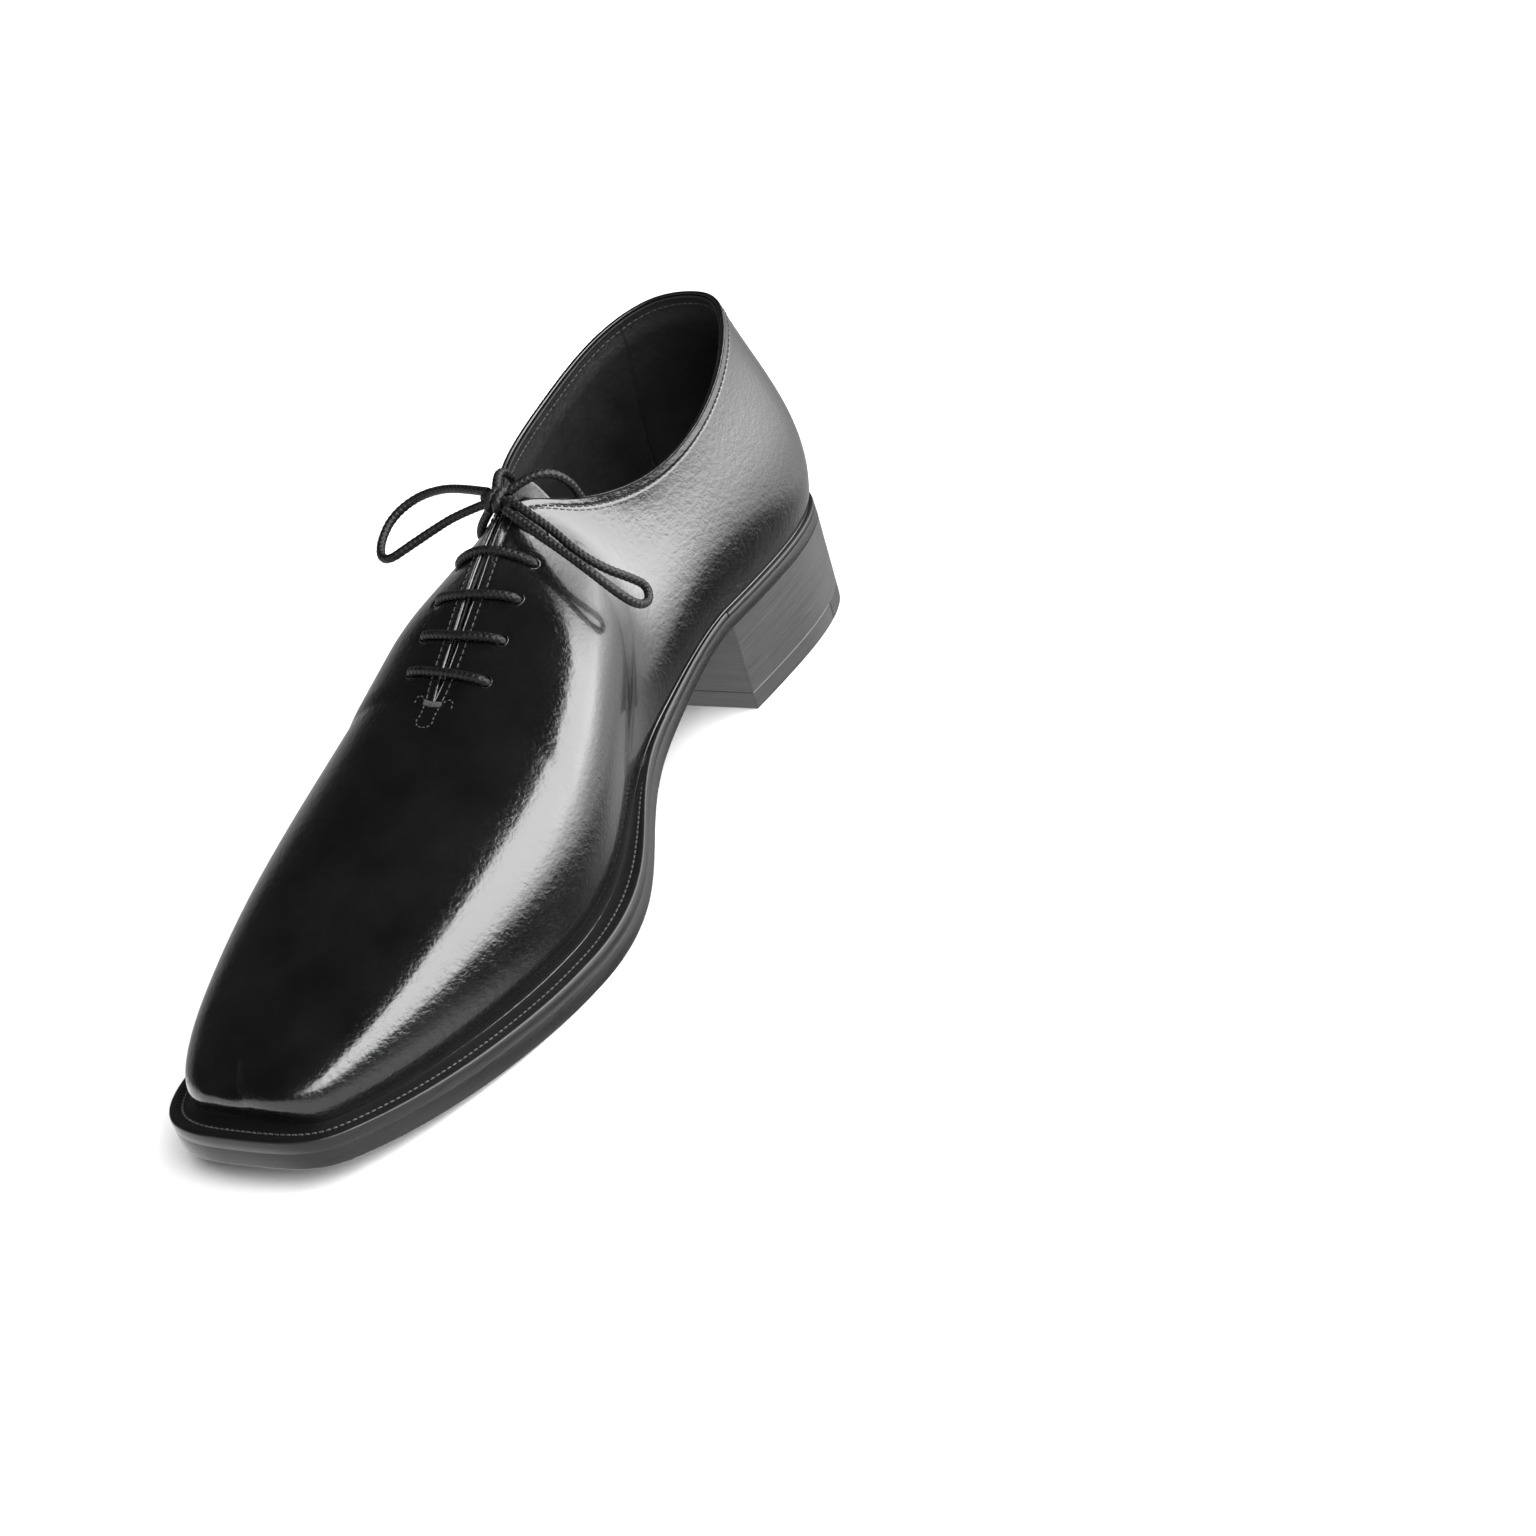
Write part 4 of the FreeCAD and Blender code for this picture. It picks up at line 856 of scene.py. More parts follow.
def make_tongue():
    """Tongue under the facings, with a rounded edge and a slightly waved top."""
    top, bottom = tongue_face(TONGUE_DEPTH), tongue_face(TONGUE_DEPTH + TONGUE_THICKNESS)
    tongue = sheet("tongue_leather", top, bottom, TONGUE_LEATHER)
    rounding = tongue.modifiers.new("edge", "BEVEL")
    rounding.width = 0.0005
    rounding.segments = 3
    rounding.limit_method = "ANGLE"
    rounding.angle_limit = math.radians(50)
    belongs(tongue, "tongue_leather", "tongue")
    make_binding(top, bottom)


def make_binding(top, bottom):
    """Binding folded over the top edge of the tongue. Its pale grey is a painted highlight standing in for
    light reflected off the tongue's top.
    """
    rows, columns = slice(0, 6), slice(14, top.shape[1] - 14)
    front, back = top[rows, columns], bottom[rows, columns]
    outward = unit(front - back)
    front, back = front + outward * 0.45, back - outward * 0.45
    over = unit(front[0] - front[1])
    crest = (front[0] + back[0]) / 2
    outer = np.concatenate([front[::-1], [front[0] + over * 0.5 - outward[0] * 0.5], [crest + over * 0.9],
                            [back[0] + over * 0.5 + outward[0] * 0.5], back])
    inner = np.concatenate([front[::-1] - outward[::-1] * 0.4, [front[0] - outward[0] * 0.6],
                            [crest + over * 0.4], [back[0] + outward[0] * 0.6], back + outward * 0.4])
    belongs(sheet("tongue_binding", outer, inner, BINDING_PAINTED_HIGHLIGHT), "tongue_leather", "tongue")


# ---------------------------------------------------------------- sole unit

# Middle line that the flat faces of the sole close onto: s, and x at each.
SPINE_S, SPINE_X = [30, 115, 215, 272], [0, 1.5, 2, -3]
ROUND = np.linspace(-1, 1, 1100)[:-1]


def sole_loop(t, inset, height, share=0.0):
    """Line inside the sole's outline, drawn in to the middle line by a share. height gives z from s."""
    plan, _ = sole_line(t, inset)
    middle = np.clip(plan[:, 0], SPINE_S[0], SPINE_S[-1])
    plan = plan * (1 - share) + np.stack([middle, np.interp(middle, SPINE_S, SPINE_X)], axis=-1) * share
    return place(plan[:, 0], plan[:, 1], height(plan[:, 0]))


def arris_steps(count):
    """Steps round an arris, from the flat face to the edge, in shares of its radius: (off the face, in)."""
    return [(1 - math.cos(a), 1 - math.sin(a)) for a in np.linspace(0, math.pi / 2, count)]


def plate(name, t, base, top, material, arris, top_arris, edge_inset=0.0):
    """Flat piece of the sole between two height functions, with rounded arrises."""
    shares = (1.0, 0.75, 0.5, 0.25, 0.08)
    steps = arris_steps(4)
    loops = [sole_loop(t, edge_inset + arris, base, share) for share in shares]
    for off, within in steps:
        loops.append(sole_loop(t, edge_inset + arris * within, lambda s: base(s) + arris * off))
    for off, within in steps[::-1]:
        loops.append(sole_loop(t, edge_inset + top_arris * within, lambda s: top(s) - top_arris * off))
    loops += [sole_loop(t, edge_inset + top_arris, top, share) for share in shares[::-1]]
    return loft(name, loops, material)


def reach_of(side, s):
    """t where the outline passes a distance from the heel back."""
    u = np.linspace(0, 0.6, 3000)
    return side * float(np.interp(s, EDGE[side](u)[:, 0], u))


def forepart_rows(low_s, count):
    """t values from the lateral side at low_s round the toe to the medial side."""
    lateral = np.linspace(reach_of(LATERAL, low_s), 1, count // 2)
    medial = np.linspace(-1, reach_of(MEDIAL, low_s), count // 2)[1:]
    return np.concatenate([lateral, medial])


def heel_rows(breast, count):
    """t values from the medial side at the breast round the heel back to the lateral side."""
    return np.linspace(reach_of(MEDIAL, breast), reach_of(LATERAL, breast), count)


def band(name, node, t, profile, side_rows):
    """Strip along the sole edge. profile gives (inset, height) rows, and side_rows the ones on its edge."""
    edge, _ = sole_line(t)
    loops = []
    for inset, height in profile(t, edge[:, 0]):
        plan, _ = sole_line(t, inset)
        loops.append(place(plan[:, 0], plan[:, 1], height))
    numbers = numbered(len(loops), len(t))
    faces = quads(numbers, close_rows=True) + [numbers[::-1, 0].tolist(), numbers[:, -1].tolist()]
    piece = mesh_object(name, np.concatenate(loops), faces, WELT_LEATHER)
    piece.data.materials.append(EDGE_LEATHER)
    first, last = (row * (len(t) - 1) for row in side_rows)
    for polygon in piece.data.polygons[first:last]:
        polygon.material_index = 1
    belongs(piece, "welt_leather", node)


WHEEL_PITCH = 1.9
CHANNEL_SINK = 0.42
SEAM = 0.01


def outsole_top(s):
    """Height of the outsole's upper face."""
    return tread_height(s) + thickness_at(s, OUTSOLE_HEEL, OUTSOLE_FOREPART)


def welt_profile(t, s):
    """Section of the welt: beaded edge, wheeled top face with its stitch channel, and a lip at the upper."""
    low = outsole_top(s) + SEAM
    high = edge_top(s)
    feather_line = INSET(np.abs(t))[:, 0]
    wheel = 0.5 + 0.5 * np.cos(2 * math.pi * travel(sole_line(t)[0]) / WHEEL_PITCH)
    shelf = ease(feather_line, 2.2, 5.0)
    middle = feather_line * 0.5
    return [(feather_line + 4.0, low), (0.9, low), (0.03, low), (0.0, low + 0.03), (0.0, (low + high) / 2),
            (0.03, high - 0.42), (0.16, high - 0.14), (0.42, high), (middle * 0.5, high - 0.05 * shelf),
            (middle * 0.72, high - (0.1 + 0.16 * wheel) * shelf), (middle * 0.88, high - 0.36 * shelf),
            (middle, high - CHANNEL_SINK * shelf), (middle * 1.12, high - 0.38 * shelf),
            (middle * 1.35, high - (0.3 + 0.06 * wheel) * shelf), (middle * 1.6, high - 0.16 * shelf),
            (feather_line - 0.5, high - 0.05 * shelf), (feather_line - 0.05, high + 0.3 * shelf),
            (feather_line + 0.6, high + 0.35 * shelf), (feather_line + 1.2, high - 0.08 * shelf),
            (feather_line + 4.0, high - 0.08 * shelf)]


def rand_profile(t, s):
    """Section of the narrow strip above the heel seat."""
    low = tread_height(s) + OUTSOLE_HEEL + SEAM
    high = edge_top(s)
    feather_line = INSET(np.abs(t))[:, 0]
    return [(feather_line + 5.0, low), (0.1, low), (-0.12, low * 0.6 + high * 0.4), (0.05, high - 0.4),
            (0.35, high - 0.05), (feather_line + 0.3, high), (feather_line + 5.0, high)]


INSOLE_GAP = 0.05
WELT_STITCH_START = 118


def make_sole():
    """Outsole, welt with its stitches, heel rand, insole and sock."""
    outsole = plate("outsole_leather", ROUND, tread_height, outsole_top, EDGE_LEATHER, 0.55, 0.03)
    belongs(outsole, "sole_leather", "outsole")
    band("welt_leather_strip", "welt", forepart_rows(HEEL_BREAST + 0.3, 2600), welt_profile, (1, 7))
    band("heel_rand_strip", "heel_rand", heel_rows(HEEL_BREAST, 500), rand_profile, (1, 3))

    fore = forepart_rows(WELT_STITCH_START, 2600)
    edge, _ = sole_line(fore)
    plan, _ = sole_line(fore, INSET(np.abs(fore))[:, 0] * 0.5)
    line = place(plan[:, 0], plan[:, 1], edge_top(edge[:, 0]) - CHANNEL_SINK)
    spread, direction, _ = even(line, WHEEL_PITCH)
    up = unit(np.array([0, 0, 1.0]) - direction * direction[:, 2:])
    stitches("welt_stitching", [(spread, direction, up)], 1.55, 0.62)

    inset = INSET(np.abs(ROUND))[:, 0] + LINING_BASE + 0.4
    insole = plate("insole_board", ROUND, lambda s: edge_top(s) + INSOLE_GAP,
                   lambda s: edge_top(s) + INSOLE_GAP + INSOLE_HEIGHT, INSOLE_BOARD, 0.5, 0.5, inset)
    belongs(insole, "insole_leather", "insole")
    make_sock()


def heel_outline(inset, breast, back=0.0):
    """Closed D-shaped line of the heel between two distances from its back."""
    plan, _ = sole_line(heel_rows(breast, 260), inset)
    plan[:, 0] = np.minimum(plan[:, 0], breast)
    ring = np.concatenate([plan, np.linspace(plan[-1], plan[0], 60)[1:-1]])
    ring[:, 0] = np.maximum(ring[:, 0], back)
    return ring


SOCK_INSET, SOCK_ARRIS, SOCK_GAP = 5.4, 0.35, 0.06
# The sock's face, from its edge inwards: (share of the way to the middle, hollow).
SOCK_FACE = [(0.02, 0.0), (0.04, 0.12), (0.06, 0.0), (0.25, 0.1), (0.5, 0.2), (0.75, 0.25), (0.88, 0.26)]


def make_sock():
    """Heel sock: a sheet on the insole with soft edges, a little hollow under the heel."""
    middle = np.array([SOCK_LENGTH / 2, 0.0])
    loops = []

    def add(height, extra, share=0.0):
        ring = heel_outline(SOCK_INSET + extra, SOCK_LENGTH - extra) * (1 - share) + middle * share
        loops.append(place(ring[:, 0], ring[:, 1], edge_top(ring[:, 0]) + INSOLE_HEIGHT + SOCK_GAP + height))

    for share in (0.88, 0.75, 0.5, 0.25, 0.05):
        add(0.0, SOCK_ARRIS, share)
    for off, within in arris_steps(5):
        add(SOCK_ARRIS * off, SOCK_ARRIS * within)
    for off, within in arris_steps(5)[::-1]:
        add(SOCK_HEIGHT - SOCK_ARRIS * off, SOCK_ARRIS * within)
    for share, hollow in SOCK_FACE:
        add(SOCK_HEIGHT - hollow, SOCK_ARRIS, share)
    belongs(loft("sock_leather_sheet", loops, SOCK_LEATHER), "sock_leather", "sock_lining")


# ---------------------------------------------------------------- lace

KNOT = np.array([-3.0, 34.0, 101.0])
# The free cords' control points, in metres.
LATERAL_LOOP = [(0.001, 0.033, 0.1015), (0.007, 0.031, 0.099), (0.015, 0.03, 0.0935),
                (0.0235, 0.027, 0.088), (0.03, 0.028, 0.082), (0.034, 0.0325, 0.076),
                (0.0355, 0.0365, 0.0708), (0.0368, 0.0338, 0.0672), (0.0375, 0.028, 0.0695),
                (0.0358, 0.0236, 0.0765), (0.03, 0.023, 0.0835), (0.021, 0.0247, 0.0895),
                (0.01, 0.0272, 0.0955), (0.001, 0.03, 0.1)]
MEDIAL_LOOP = [(-0.008, 0.036, 0.102), (-0.018, 0.038, 0.1018), (-0.029, 0.04, 0.1005),
               (-0.039, 0.039, 0.098), (-0.045, 0.033, 0.095), (-0.045, 0.0253, 0.092),
               (-0.0422, 0.0195, 0.09), (-0.0381, 0.0182, 0.0898), (-0.033, 0.0218, 0.0918),
               (-0.026, 0.0268, 0.0945), (-0.018, 0.031, 0.0975), (-0.008, 0.033, 0.1)]
LATERAL_END = [(-0.001, 0.0365, 0.102), (0.003, 0.0405, 0.104), (0.008, 0.0455, 0.103), (0.01, 0.05, 0.097),
               (0.0095, 0.053, 0.0885), (0.009, 0.055, 0.079), (0.0095, 0.056, 0.0695)]
MEDIAL_END = [(-0.006, 0.0365, 0.1015), (-0.008, 0.041, 0.1038), (-0.0098, 0.0463, 0.1028),
              (-0.0106, 0.0505, 0.0974), (-0.011, 0.0532, 0.089), (-0.0113, 0.055, 0.0795),
              (-0.012, 0.056, 0.070)]
RETURN_RUN = [(LATERAL, 0.592, 0.95), (MEDIAL, 0.592, 0.94), (MEDIAL, 0.565, 0.83), (MEDIAL, 0.52, 0.8),
              (MEDIAL, 0.475, 0.8), (MEDIAL, 0.44, 0.81)]
KNOT_EXIT = {LATERAL: (4, -2, -3), MEDIAL: (-4, -2, -3)}
# Each bar of the lacing clears the slit by BAR_LIFT, and bows back and up over it by BAR_ARCH.
BAR_LIFT, BAR_ARCH = 0.9, np.array([0.0, 1.9, 0.9])
TAG_RADIUS, TAG_LENGTH = 1.5, 16.0


def spline_path(points):
    """Points in metres read from the NURBS spline that has these control points."""
    data = bpy.data.curves.new("route", "CURVE")
    data.dimensions = "3D"
    data.resolution_u = 40
    spline = data.splines.new("NURBS")
    spline.points.add(len(points) - 1)
    for control, point in zip(spline.points, points):
        control.co = (*point, 1)
    spline.order_u = 3
    spline.use_endpoint_u = True
    holder = bpy.data.objects.new("route", data)
    mesh = bpy.data.meshes.new_from_object(holder)
    path = [tuple(vertex.co) for vertex in mesh.vertices]
    bpy.data.objects.remove(holder)
    bpy.data.curves.remove(data)
    bpy.data.meshes.remove(mesh)
    return path


def carried_frames(path):
    """Even points along a path in metres, with two sideways axes that don't twist, and the distances gone."""
    points, direction, along = even(np.array(path) / MM, 0.2)
    sideways = [unit(np.cross(direction[0], [0.3, 0.2, 0.93]))]
    for forward in direction[1:]:
        sideways.append(unit(sideways[-1] - forward * (sideways[-1] @ forward)))
    sideways = np.array(sideways)
    return points, sideways, np.cross(direction, sideways), along


def rings_along(points, width, angle, side_a, side_b):
    """Rings round the points of a line. width is given by point and angle."""
    spoke = np.cos(angle)[:, None] * side_a[..., None, :] + np.sin(angle)[:, None] * side_b[..., None, :]
    return points[:, None] + width[..., None] * spoke


BRAID_STRANDS, BRAID_PITCH, BRAID_DEPTH = 4, 3.4, 0.17


def braided(name, node, path, radius=LACE_RADIUS):
    """Round braided cord along a path: strands that cross over and under in two directions."""
    points, side_a, side_b, along = carried_frames(path)
    angle = np.linspace(0, 2 * math.pi, 32, endpoint=False)
    turn = BRAID_STRANDS * angle[None, :]
    gone = (4 * math.pi * along / BRAID_PITCH)[:, None]
    over = 0.5 + 0.5 * np.sin(turn) * np.sin(gone)
    strand_one = np.cos(turn + gone) * (0.55 + 0.45 * over)
    strand_two = np.cos(turn - gone) * (1.0 - 0.45 * over)
    width = radius + (np.maximum(strand_one, strand_two) - 0.6) * BRAID_DEPTH
    width *= 1 + 0.025 * np.sin(along / 5.3 + 1.1)[:, None]
    return belongs(tube(name, rings_along(points, width, angle, side_a, side_b), LACE), "lace_cord", node)


def lace_route():
    """Control points of the threaded run, in metres."""
    above = -LACE_RADIUS - 0.3
    below = LINING_BASE + LACE_RADIUS + 0.1

    def under(side, u, v, depth):
        return layer(np.array(side * u), np.array(v), np.array(depth))

    def eyelet(side, number, depth):
        return under(side, *EYELETS[number], depth)

    def crest(number):
        u = EYELETS[number][0]
        return sum(under(side, u, 1.0, -LACE_RADIUS - BAR_LIFT) for side in (LATERAL, MEDIAL)) / 2 + BAR_ARCH

    route = [KNOT + KNOT_EXIT[LATERAL], eyelet(LATERAL, 0, above), eyelet(LATERAL, 0, below)]
    side = LATERAL
    for number in range(1, len(EYELETS)):
        route += [eyelet(side, number, below), eyelet(side, number, above), crest(number)]
        side = -side
        route += [eyelet(side, number, above), eyelet(side, number, below)]
    route += [under(side, u, v, below) for side, u, v in RETURN_RUN]
    route += [eyelet(MEDIAL, 0, below), eyelet(MEDIAL, 0, above), KNOT + KNOT_EXIT[MEDIAL]]
    return np.array(route) * MM


# The knot's two wraps and its core, as steps from its centre in millimetres.
KNOT_WRAPS = [(-4.6, 2.2, -2.4), (-3.6, -1.2, -3.0), (-2.6, -3.6, -1.4), (-2.0, -3.1, 1.0), (-1.6, 0.0, 2.3),
              (-1.4, 3.0, 1.2), (-1.2, 3.6, -1.2), (-0.6, 0.6, -3.0), (0.2, -2.8, -2.4), (1.0, -4.2, -0.2),
              (1.2, -2.4, 1.9), (1.0, 0.9, 2.4), (1.4, 3.4, 0.8), (2.4, 3.0, -1.4), (3.6, 0.6, -2.8)]
KNOT_CORE = [(5.5, -3.5, -1.6), (3, -1.5, -0.4), (0, 0, 0), (-3, 0.5, 0.2), (-6.5, 0.6, 0)]


def make_lace():
    """Threaded run, knot, bow loops and tagged ends, all of the same braid."""
    braided("lace_run_braid", "lace_run", spline_path(lace_route()))
    braided("bow_knot_wraps", "bow_knot", spline_path((KNOT + np.array(KNOT_WRAPS)) * MM))
    braided("bow_knot_core", "bow_knot", spline_path((KNOT + np.array(KNOT_CORE)) * MM), LACE_RADIUS * 1.15)

    for name, route, length in (("bow_loop_lateral", LATERAL_LOOP, 0.114),
                                ("bow_loop_medial", MEDIAL_LOOP, 0.094)):
        path = spline_path(route)
        loop = braided(name + "_braid", name, path)

    for side, route, length in (("lateral", LATERAL_END, 0.049), ("medial", MEDIAL_END, 0.046)):
        path = spline_path(route)
        end = braided("lace_end_braid_" + side, "lace_end_" + side, path)
        tag = make_tag("lace_tag_film_" + side, np.array(route[-2]) / MM, np.array(route[-1]) / MM)
        belongs(tag, "tag_plastic", "lace_tag_" + side)


def make_tag(name, before, start):
    """Wound tag: film over the lace end with a lapped seam, two pinched rings and a rounded tip."""
    forward = unit(start - before)
    sideways = unit(np.cross(forward, [1.0, 0, 0]))
    along = np.concatenate([np.linspace(0, 0.3, 4), np.linspace(0.5, TAG_LENGTH - 0.6, 60),
                            np.linspace(TAG_LENGTH - 0.5, TAG_LENGTH, 6)])
    angle = np.linspace(0, 2 * math.pi, 40, endpoint=False)
    lap = 0.07 / (1 + np.exp(-(angle - 1.2) * 14)) * np.exp(-np.maximum(angle - 1.2, 0) / 2.2)
    pinch = 0.1 * np.exp(-((along - 2.2) / 0.5) ** 2) + 0.08 * np.exp(-((along - 12.5) / 0.6) ** 2)
    tip = np.maximum(0, (along - TAG_LENGTH + 0.6) / 0.6)
    mouth = np.maximum(0, 1 - along / 0.3)
    radius = TAG_RADIUS * (1 - pinch) * np.sqrt(1 - 0.85 * tip ** 2) * (1 - 0.12 * mouth)
    rings = rings_along(start + forward * along[:, None], radius[:, None] + lap - 0.04, angle, sideways,
                        np.cross(forward, sideways))
    return tube(name, rings, TAG_FILM)


# ---------------------------------------------------------------- heel


def heel_layer(name, node, low, high, material, slot, arris, back=0.0, breast=HEEL_BREAST, hollow=0.0):
    """One layer of the heel, tapered, with soft arrises and an underside that may be slightly hollow."""
    middle = np.array([(max(back, 2) + breast) / 2, 0.0])
    shares = (0.98, 0.6, 0.25, 0.05)
    loops = []

    def add(height, extra, share=0.0):
        inset = HEEL_TAPER * (1 - height / HEEL_HEIGHT) + extra
        front = breast - extra if breast == HEEL_BREAST else breast
        ring = heel_outline(inset, front, back) * (1 - share) + middle * share
        loops.append(place(ring[:, 0], ring[:, 1], height))

    for share in shares:
        add(low + hollow, arris, share)
    for off, within in arris_steps(4):
        add(low + arris * off, arris * within)
    add(low + arris + SIDE_MARGIN, 0)
    add(high - arris - SIDE_MARGIN, 0)
    for off, within in arris_steps(4)[::-1]:
        add(high - arris * off, arris * within)
    for share in shares[::-1]:
        add(high, arris, share)
    belongs(loft(name, loops, material), slot, node)


# The side of a heel layer is flat to this near its arrises.
SIDE_MARGIN = 0.08


def make_heel():
    """Four stacked lifts, leather top piece, rubber tip and nails."""
    levels = np.linspace(TOP_PIECE, HEEL_HEIGHT, LIFTS + 1)
    for number in range(1, LIFTS + 1):
        heel_layer("heel_lift_leather_%d" % number, "heel_lift_%d" % number, levels[number - 1],
                   levels[number], HEEL_LEATHER, "heel_leather", 0.02)
    heel_layer("top_piece_leather", "top_piece", 0.0, TOP_PIECE, HEEL_LEATHER, "heel_leather", 0.3,
               back=TIP_LENGTH + 0.15, hollow=0.15)
    heel_layer("heel_tip_rubber", "heel_tip", 0.0, TOP_PIECE, RUBBER, "tip_rubber", 0.3,
               breast=TIP_LENGTH, hollow=0.15)
    make_nails()


# Nails as (t, inset from the edge), and a nail's outline as (radius, height).
NAIL_PLACES = [(-0.075, 7), (-0.045, 7), (-0.015, 7), (0.015, 7), (0.045, 7), (0.075, 7),
               (0.15, 8), (-0.15, 8), (0.2, 8), (-0.2, 8)]
NAIL_PROFILE = [(0.12, 0.02), (0.5, 0.03), (0.78, 0.07), (0.9, 0.14), (0.9, 0.6), (0.86, 0.8), (0.86, 10.6),
                (0.1, 11.3)]


def make_nails():
    """Ten brass nails with low domed heads, in the tip and the top piece."""
    angle = np.linspace(0, 2 * math.pi, 28, endpoint=False)
    turn = (np.cos(angle), np.sin(angle), np.ones_like(angle))
    points, faces = [], []
    for t, inset in NAIL_PLACES:
        plan, _ = sole_line(np.array([t]), float(inset))
        centre = place(plan[0, 0], plan[0, 1], 0.0)
        numbers = len(points) * len(angle) + numbered(len(NAIL_PROFILE), len(angle))
        for radius, height in NAIL_PROFILE:
            points.append(centre + np.stack([turn[0] * radius, turn[1] * radius, turn[2] * height], axis=1))
        faces += quads(numbers[:, ::-1], close_columns=True)
        faces += [numbers[0, ::-1].tolist(), numbers[-1].tolist()]
    belongs(mesh_object("heel_nail_heads", np.concatenate(points), faces, BRASS), "nail_brass", "heel_nails")


# ---------------------------------------------------------------- materials of the CAD pieces that stay


HIDDEN_FINISHES = {"heel_counter": STIFFENER, "toe_puff": STIFFENER, "eyelet_stay_lateral": BACKER,
                   "eyelet_stay_medial": BACKER, "side_backer_lateral": BACKER,
                   "side_backer_medial": BACKER, "vamp_lining": LINING_LEATHER, "shank": STEEL,
                   "cork_filler": CORK}


def finish_cad_pieces():
    """Procedural material on every CAD piece that keeps its own mesh."""
    for name, material in HIDDEN_FINISHES.items():
        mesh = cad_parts[name].data
        mesh.materials.clear()
        mesh.materials.append(material)


# ---------------------------------------------------------------- camera, light and floor

CAMERA_TARGET = Vector((0.0588, 0.0313, 0.0119))
CAMERA_DISTANCE = 1.205
CAMERA_AZIMUTH, CAMERA_ELEVATION, CAMERA_ROLL = 40.82, 29.89, -20.27
CAMERA_LENS = 98.4
FLOOR_HALF = 9000
OVERHEAD_POWER, OVERHEAD_HEIGHT, OVERHEAD_WIDTH = 70, 2.65, 3.4

# Light of the room by direction. Stops are (place, share). A place runs from 0, straight away from an azimuth
# or straight down, to 1, straight towards it or straight up.
ROOM_LEVEL = 0.022
# Pale parts of the room: (azimuth, level, stops towards the azimuth, stops upwards).
ROOM_PARTS = [
    (158, 0.9, [(0.8, 0.0), (0.95, 1.0)], [(0.5, 0.0), (0.54, 1.0), (0.6, 0.6), (0.72, 0.0)]),
    (-125, 0.42, [(0.4, 0.0), (0.8, 1.0)], [(0.2, 1.0), (0.55, 0.8), (0.68, 0.0)]),
]
# The window stands on the lateral side.
WINDOW_AZIMUTH, WINDOW_LEVEL = 92, 8.0
WINDOW_ACROSS = [(0.42, 0.0), (0.55, 0.16), (0.64, 0.36), (0.74, 0.56), (0.9, 1.0)]
WINDOW_UPWARD = [(0.2, 0.14), (0.31, 0.24), (0.37, 0.4), (0.44, 0.62), (0.51, 0.94), (0.9, 1.0), (0.922, 0.0)]
# Its sill rises towards this azimuth by this slope. Below the sill the room is dark, then a plain mid grey.
SILL_AZIMUTH, SILL_SLOPE = -10, 0.87
WINDOW_SILL = [(0.57, 0.0), (0.615, 1.0)]
BELOW_LEVEL = 1.0
BELOW_SILL = [(0.34, 1.0), (0.43, 0.0)]


def direction_of(azimuth, elevation=0.0):
    """Unit vector towards a place, where azimuth 0 is -Y and 90 is +X."""
    a, e = math.radians(azimuth), math.radians(elevation)
    return Vector((math.sin(a) * math.cos(e), -math.cos(a) * math.cos(e), math.sin(e)))


def make_camera():
    """Camera with a long lens, above the toe on the lateral side, and rolled."""
    data = bpy.data.cameras.new("camera")
    data.lens = CAMERA_LENS
    data.sensor_width = 36
    data.clip_end = 60
    camera = bpy.data.objects.new("camera", data)
    back = direction_of(CAMERA_AZIMUTH, CAMERA_ELEVATION)
    camera.location = CAMERA_TARGET + back * CAMERA_DISTANCE
    camera.rotation_mode = "QUATERNION"
    level = (-back).to_track_quat("-Z", "Y")
    camera.rotation_quaternion = level @ Quaternion((0, 0, 1), math.radians(CAMERA_ROLL))
    bpy.context.scene.collection.objects.link(camera)
    bpy.context.scene.camera = camera


def make_stage():
    """Pale floor, and a wide soft light overhead. Neither is mirrored in the leather."""
    corners = [(x * FLOOR_HALF, y * FLOOR_HALF, 0) for x, y in ((-1, -1), (1, -1), (1, 1), (-1, 1))]
    floor = mesh_object("floor", corners, [(0, 1, 2, 3)], FLOOR)
    floor.visible_glossy = False

    data = bpy.data.lights.new("overhead", "AREA")
    data.size = OVERHEAD_WIDTH
    data.energy = OVERHEAD_POWER
    light = bpy.data.objects.new("overhead", data)
    light.location = (0, 0, OVERHEAD_HEIGHT)
    light.visible_glossy = False
    bpy.context.scene.collection.objects.link(light)


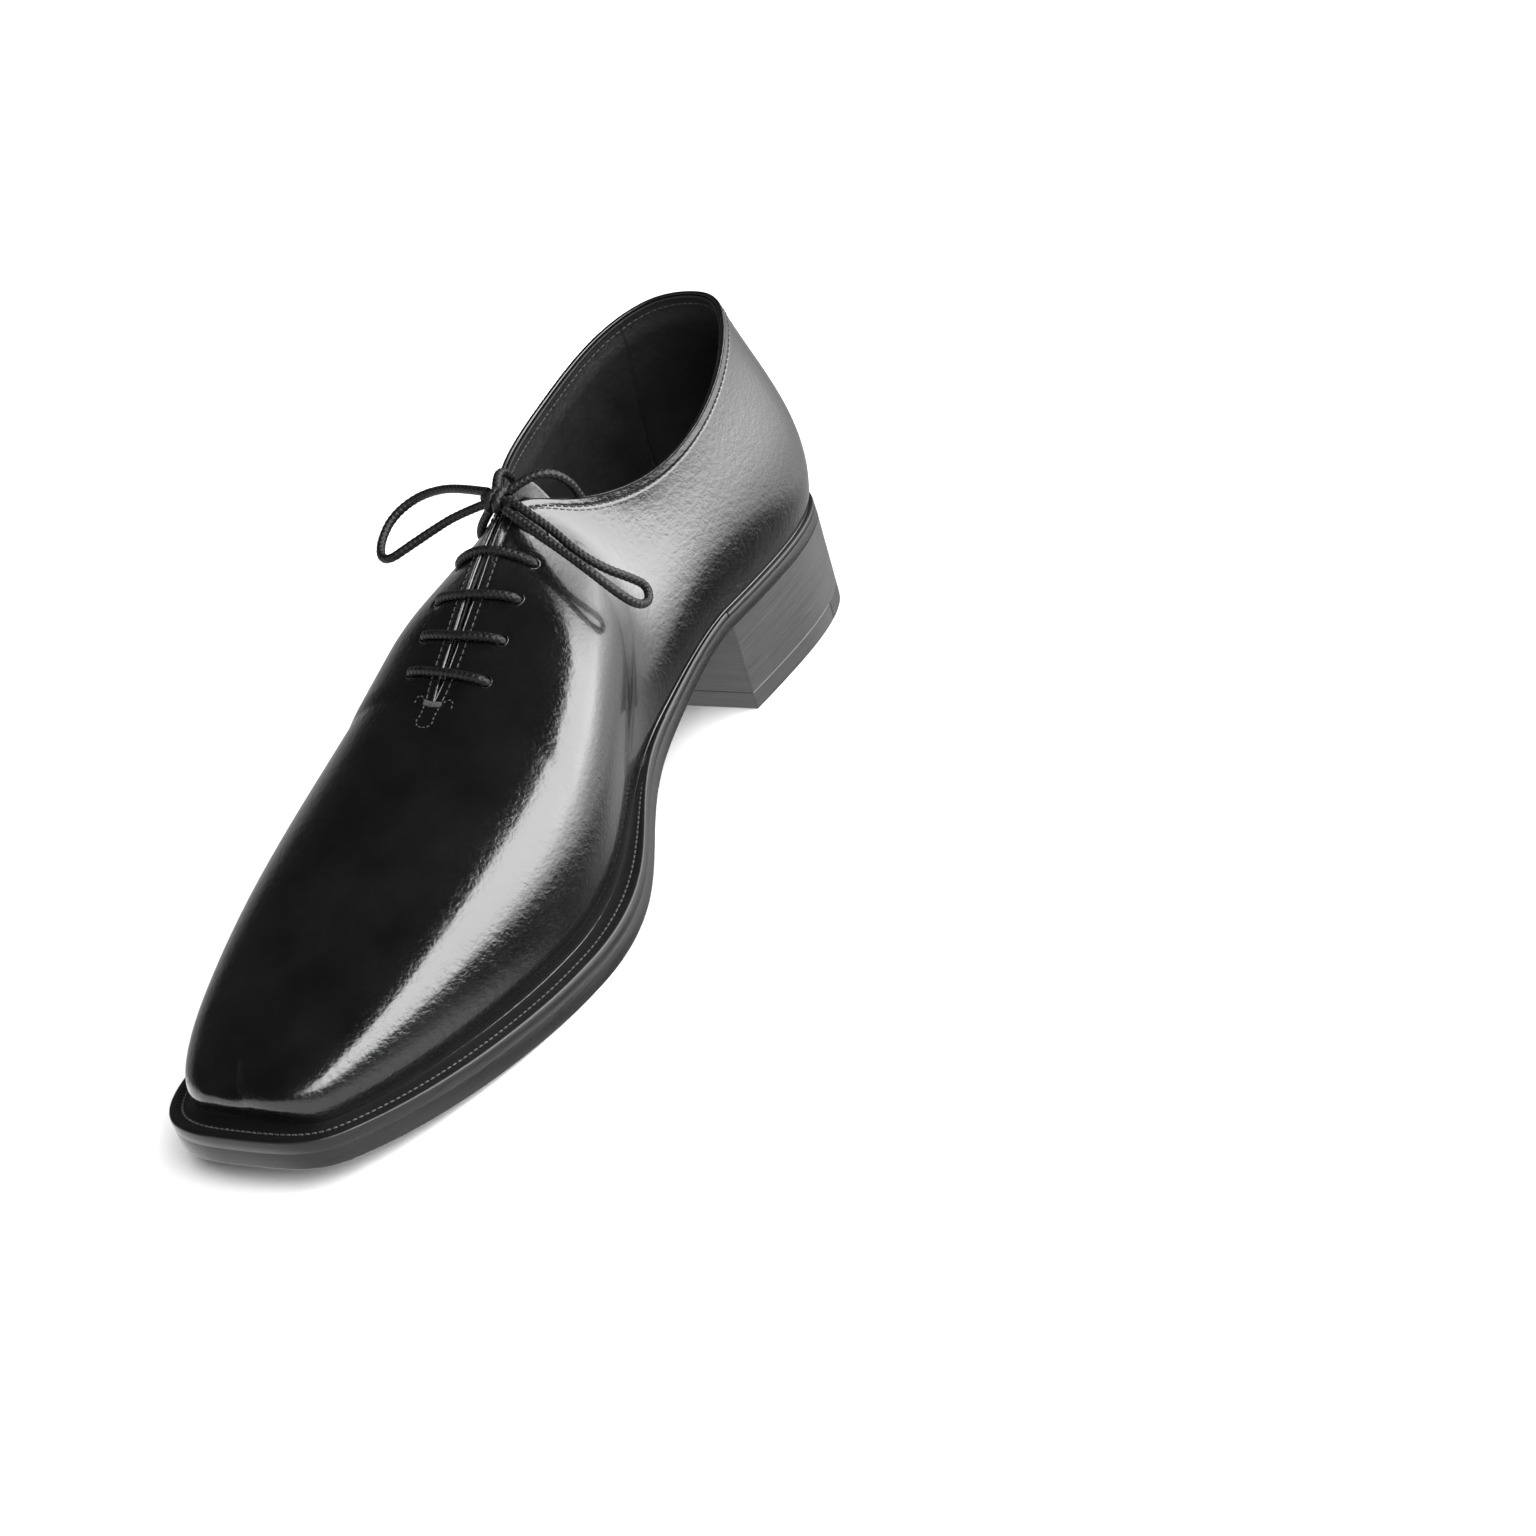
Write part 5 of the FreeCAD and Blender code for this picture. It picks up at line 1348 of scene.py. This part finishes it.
def make_room():
    """Room light by direction: a tall window, pale parts low down, and dark elsewhere."""
    world = bpy.data.worlds.new("studio")
    world.use_nodes = True
    bpy.context.scene.world = world
    tree = world.node_tree
    link = tree.links.new
    coords = tree.nodes.new("ShaderNodeTexCoord").outputs["Generated"]
    split = tree.nodes.new("ShaderNodeSeparateXYZ")
    link(coords, split.inputs["Vector"])

    def vector_math(kind, first, second, output):
        node = tree.nodes.new("ShaderNodeVectorMath")
        node.operation = kind
        link(first, node.inputs[0])
        node.inputs[1].default_value = second
        return node.outputs[output]

    def scalar(kind, first, second):
        node = tree.nodes.new("ShaderNodeMath")
        node.operation = kind
        for socket, value in zip(node.inputs, (first, second)):
            if isinstance(value, (int, float)):
                socket.default_value = value
            else:
                link(value, socket)
        return node.outputs["Value"]

    def along(vector, direction):
        """Reading from 0 to 1 of how far a vector points along a direction."""
        dot = vector_math("DOT_PRODUCT", vector, tuple(direction), "Value")
        return remap(tree, dot, 0, 1, -1, 1)

    def part(level, *readings):
        """Product of a level and the readings through their stops."""
        product = level
        for reading, stops in readings:
            product = scalar("MULTIPLY", product, ramp(tree, reading, stops))
        return product

    flat = vector_math("MULTIPLY", coords, (1, 1, 0), "Vector")
    heading = vector_math("NORMALIZE", flat, (0, 0, 0), "Vector")
    height = remap(tree, split.outputs["Z"], 0, 1, -1, 1)
    above_sill = along(coords, Vector((0, 0, 1)) - SILL_SLOPE * direction_of(SILL_AZIMUTH))
    towards_window = along(heading, direction_of(WINDOW_AZIMUTH))
    parts = [part(level, (along(heading, direction_of(azimuth)), across), (height, upward))
             for azimuth, level, across, upward in ROOM_PARTS]
    parts.append(part(WINDOW_LEVEL, (towards_window, WINDOW_ACROSS), (height, WINDOW_UPWARD),
                      (above_sill, WINDOW_SILL)))
    parts.append(part(BELOW_LEVEL, (above_sill, BELOW_SILL)))
    total = ROOM_LEVEL
    for value in parts:
        total = scalar("ADD", total, value)
    link(total, tree.nodes["Background"].inputs["Color"])
    bpy.context.scene.view_settings.view_transform = "Standard"


# ---------------------------------------------------------------- build

make_camera()
make_stage()
make_room()
make_upper()
make_linings()
make_stitching()
make_bar_tack()
make_tongue()
make_sole()
make_heel()
make_lace()
finish_cad_pieces()
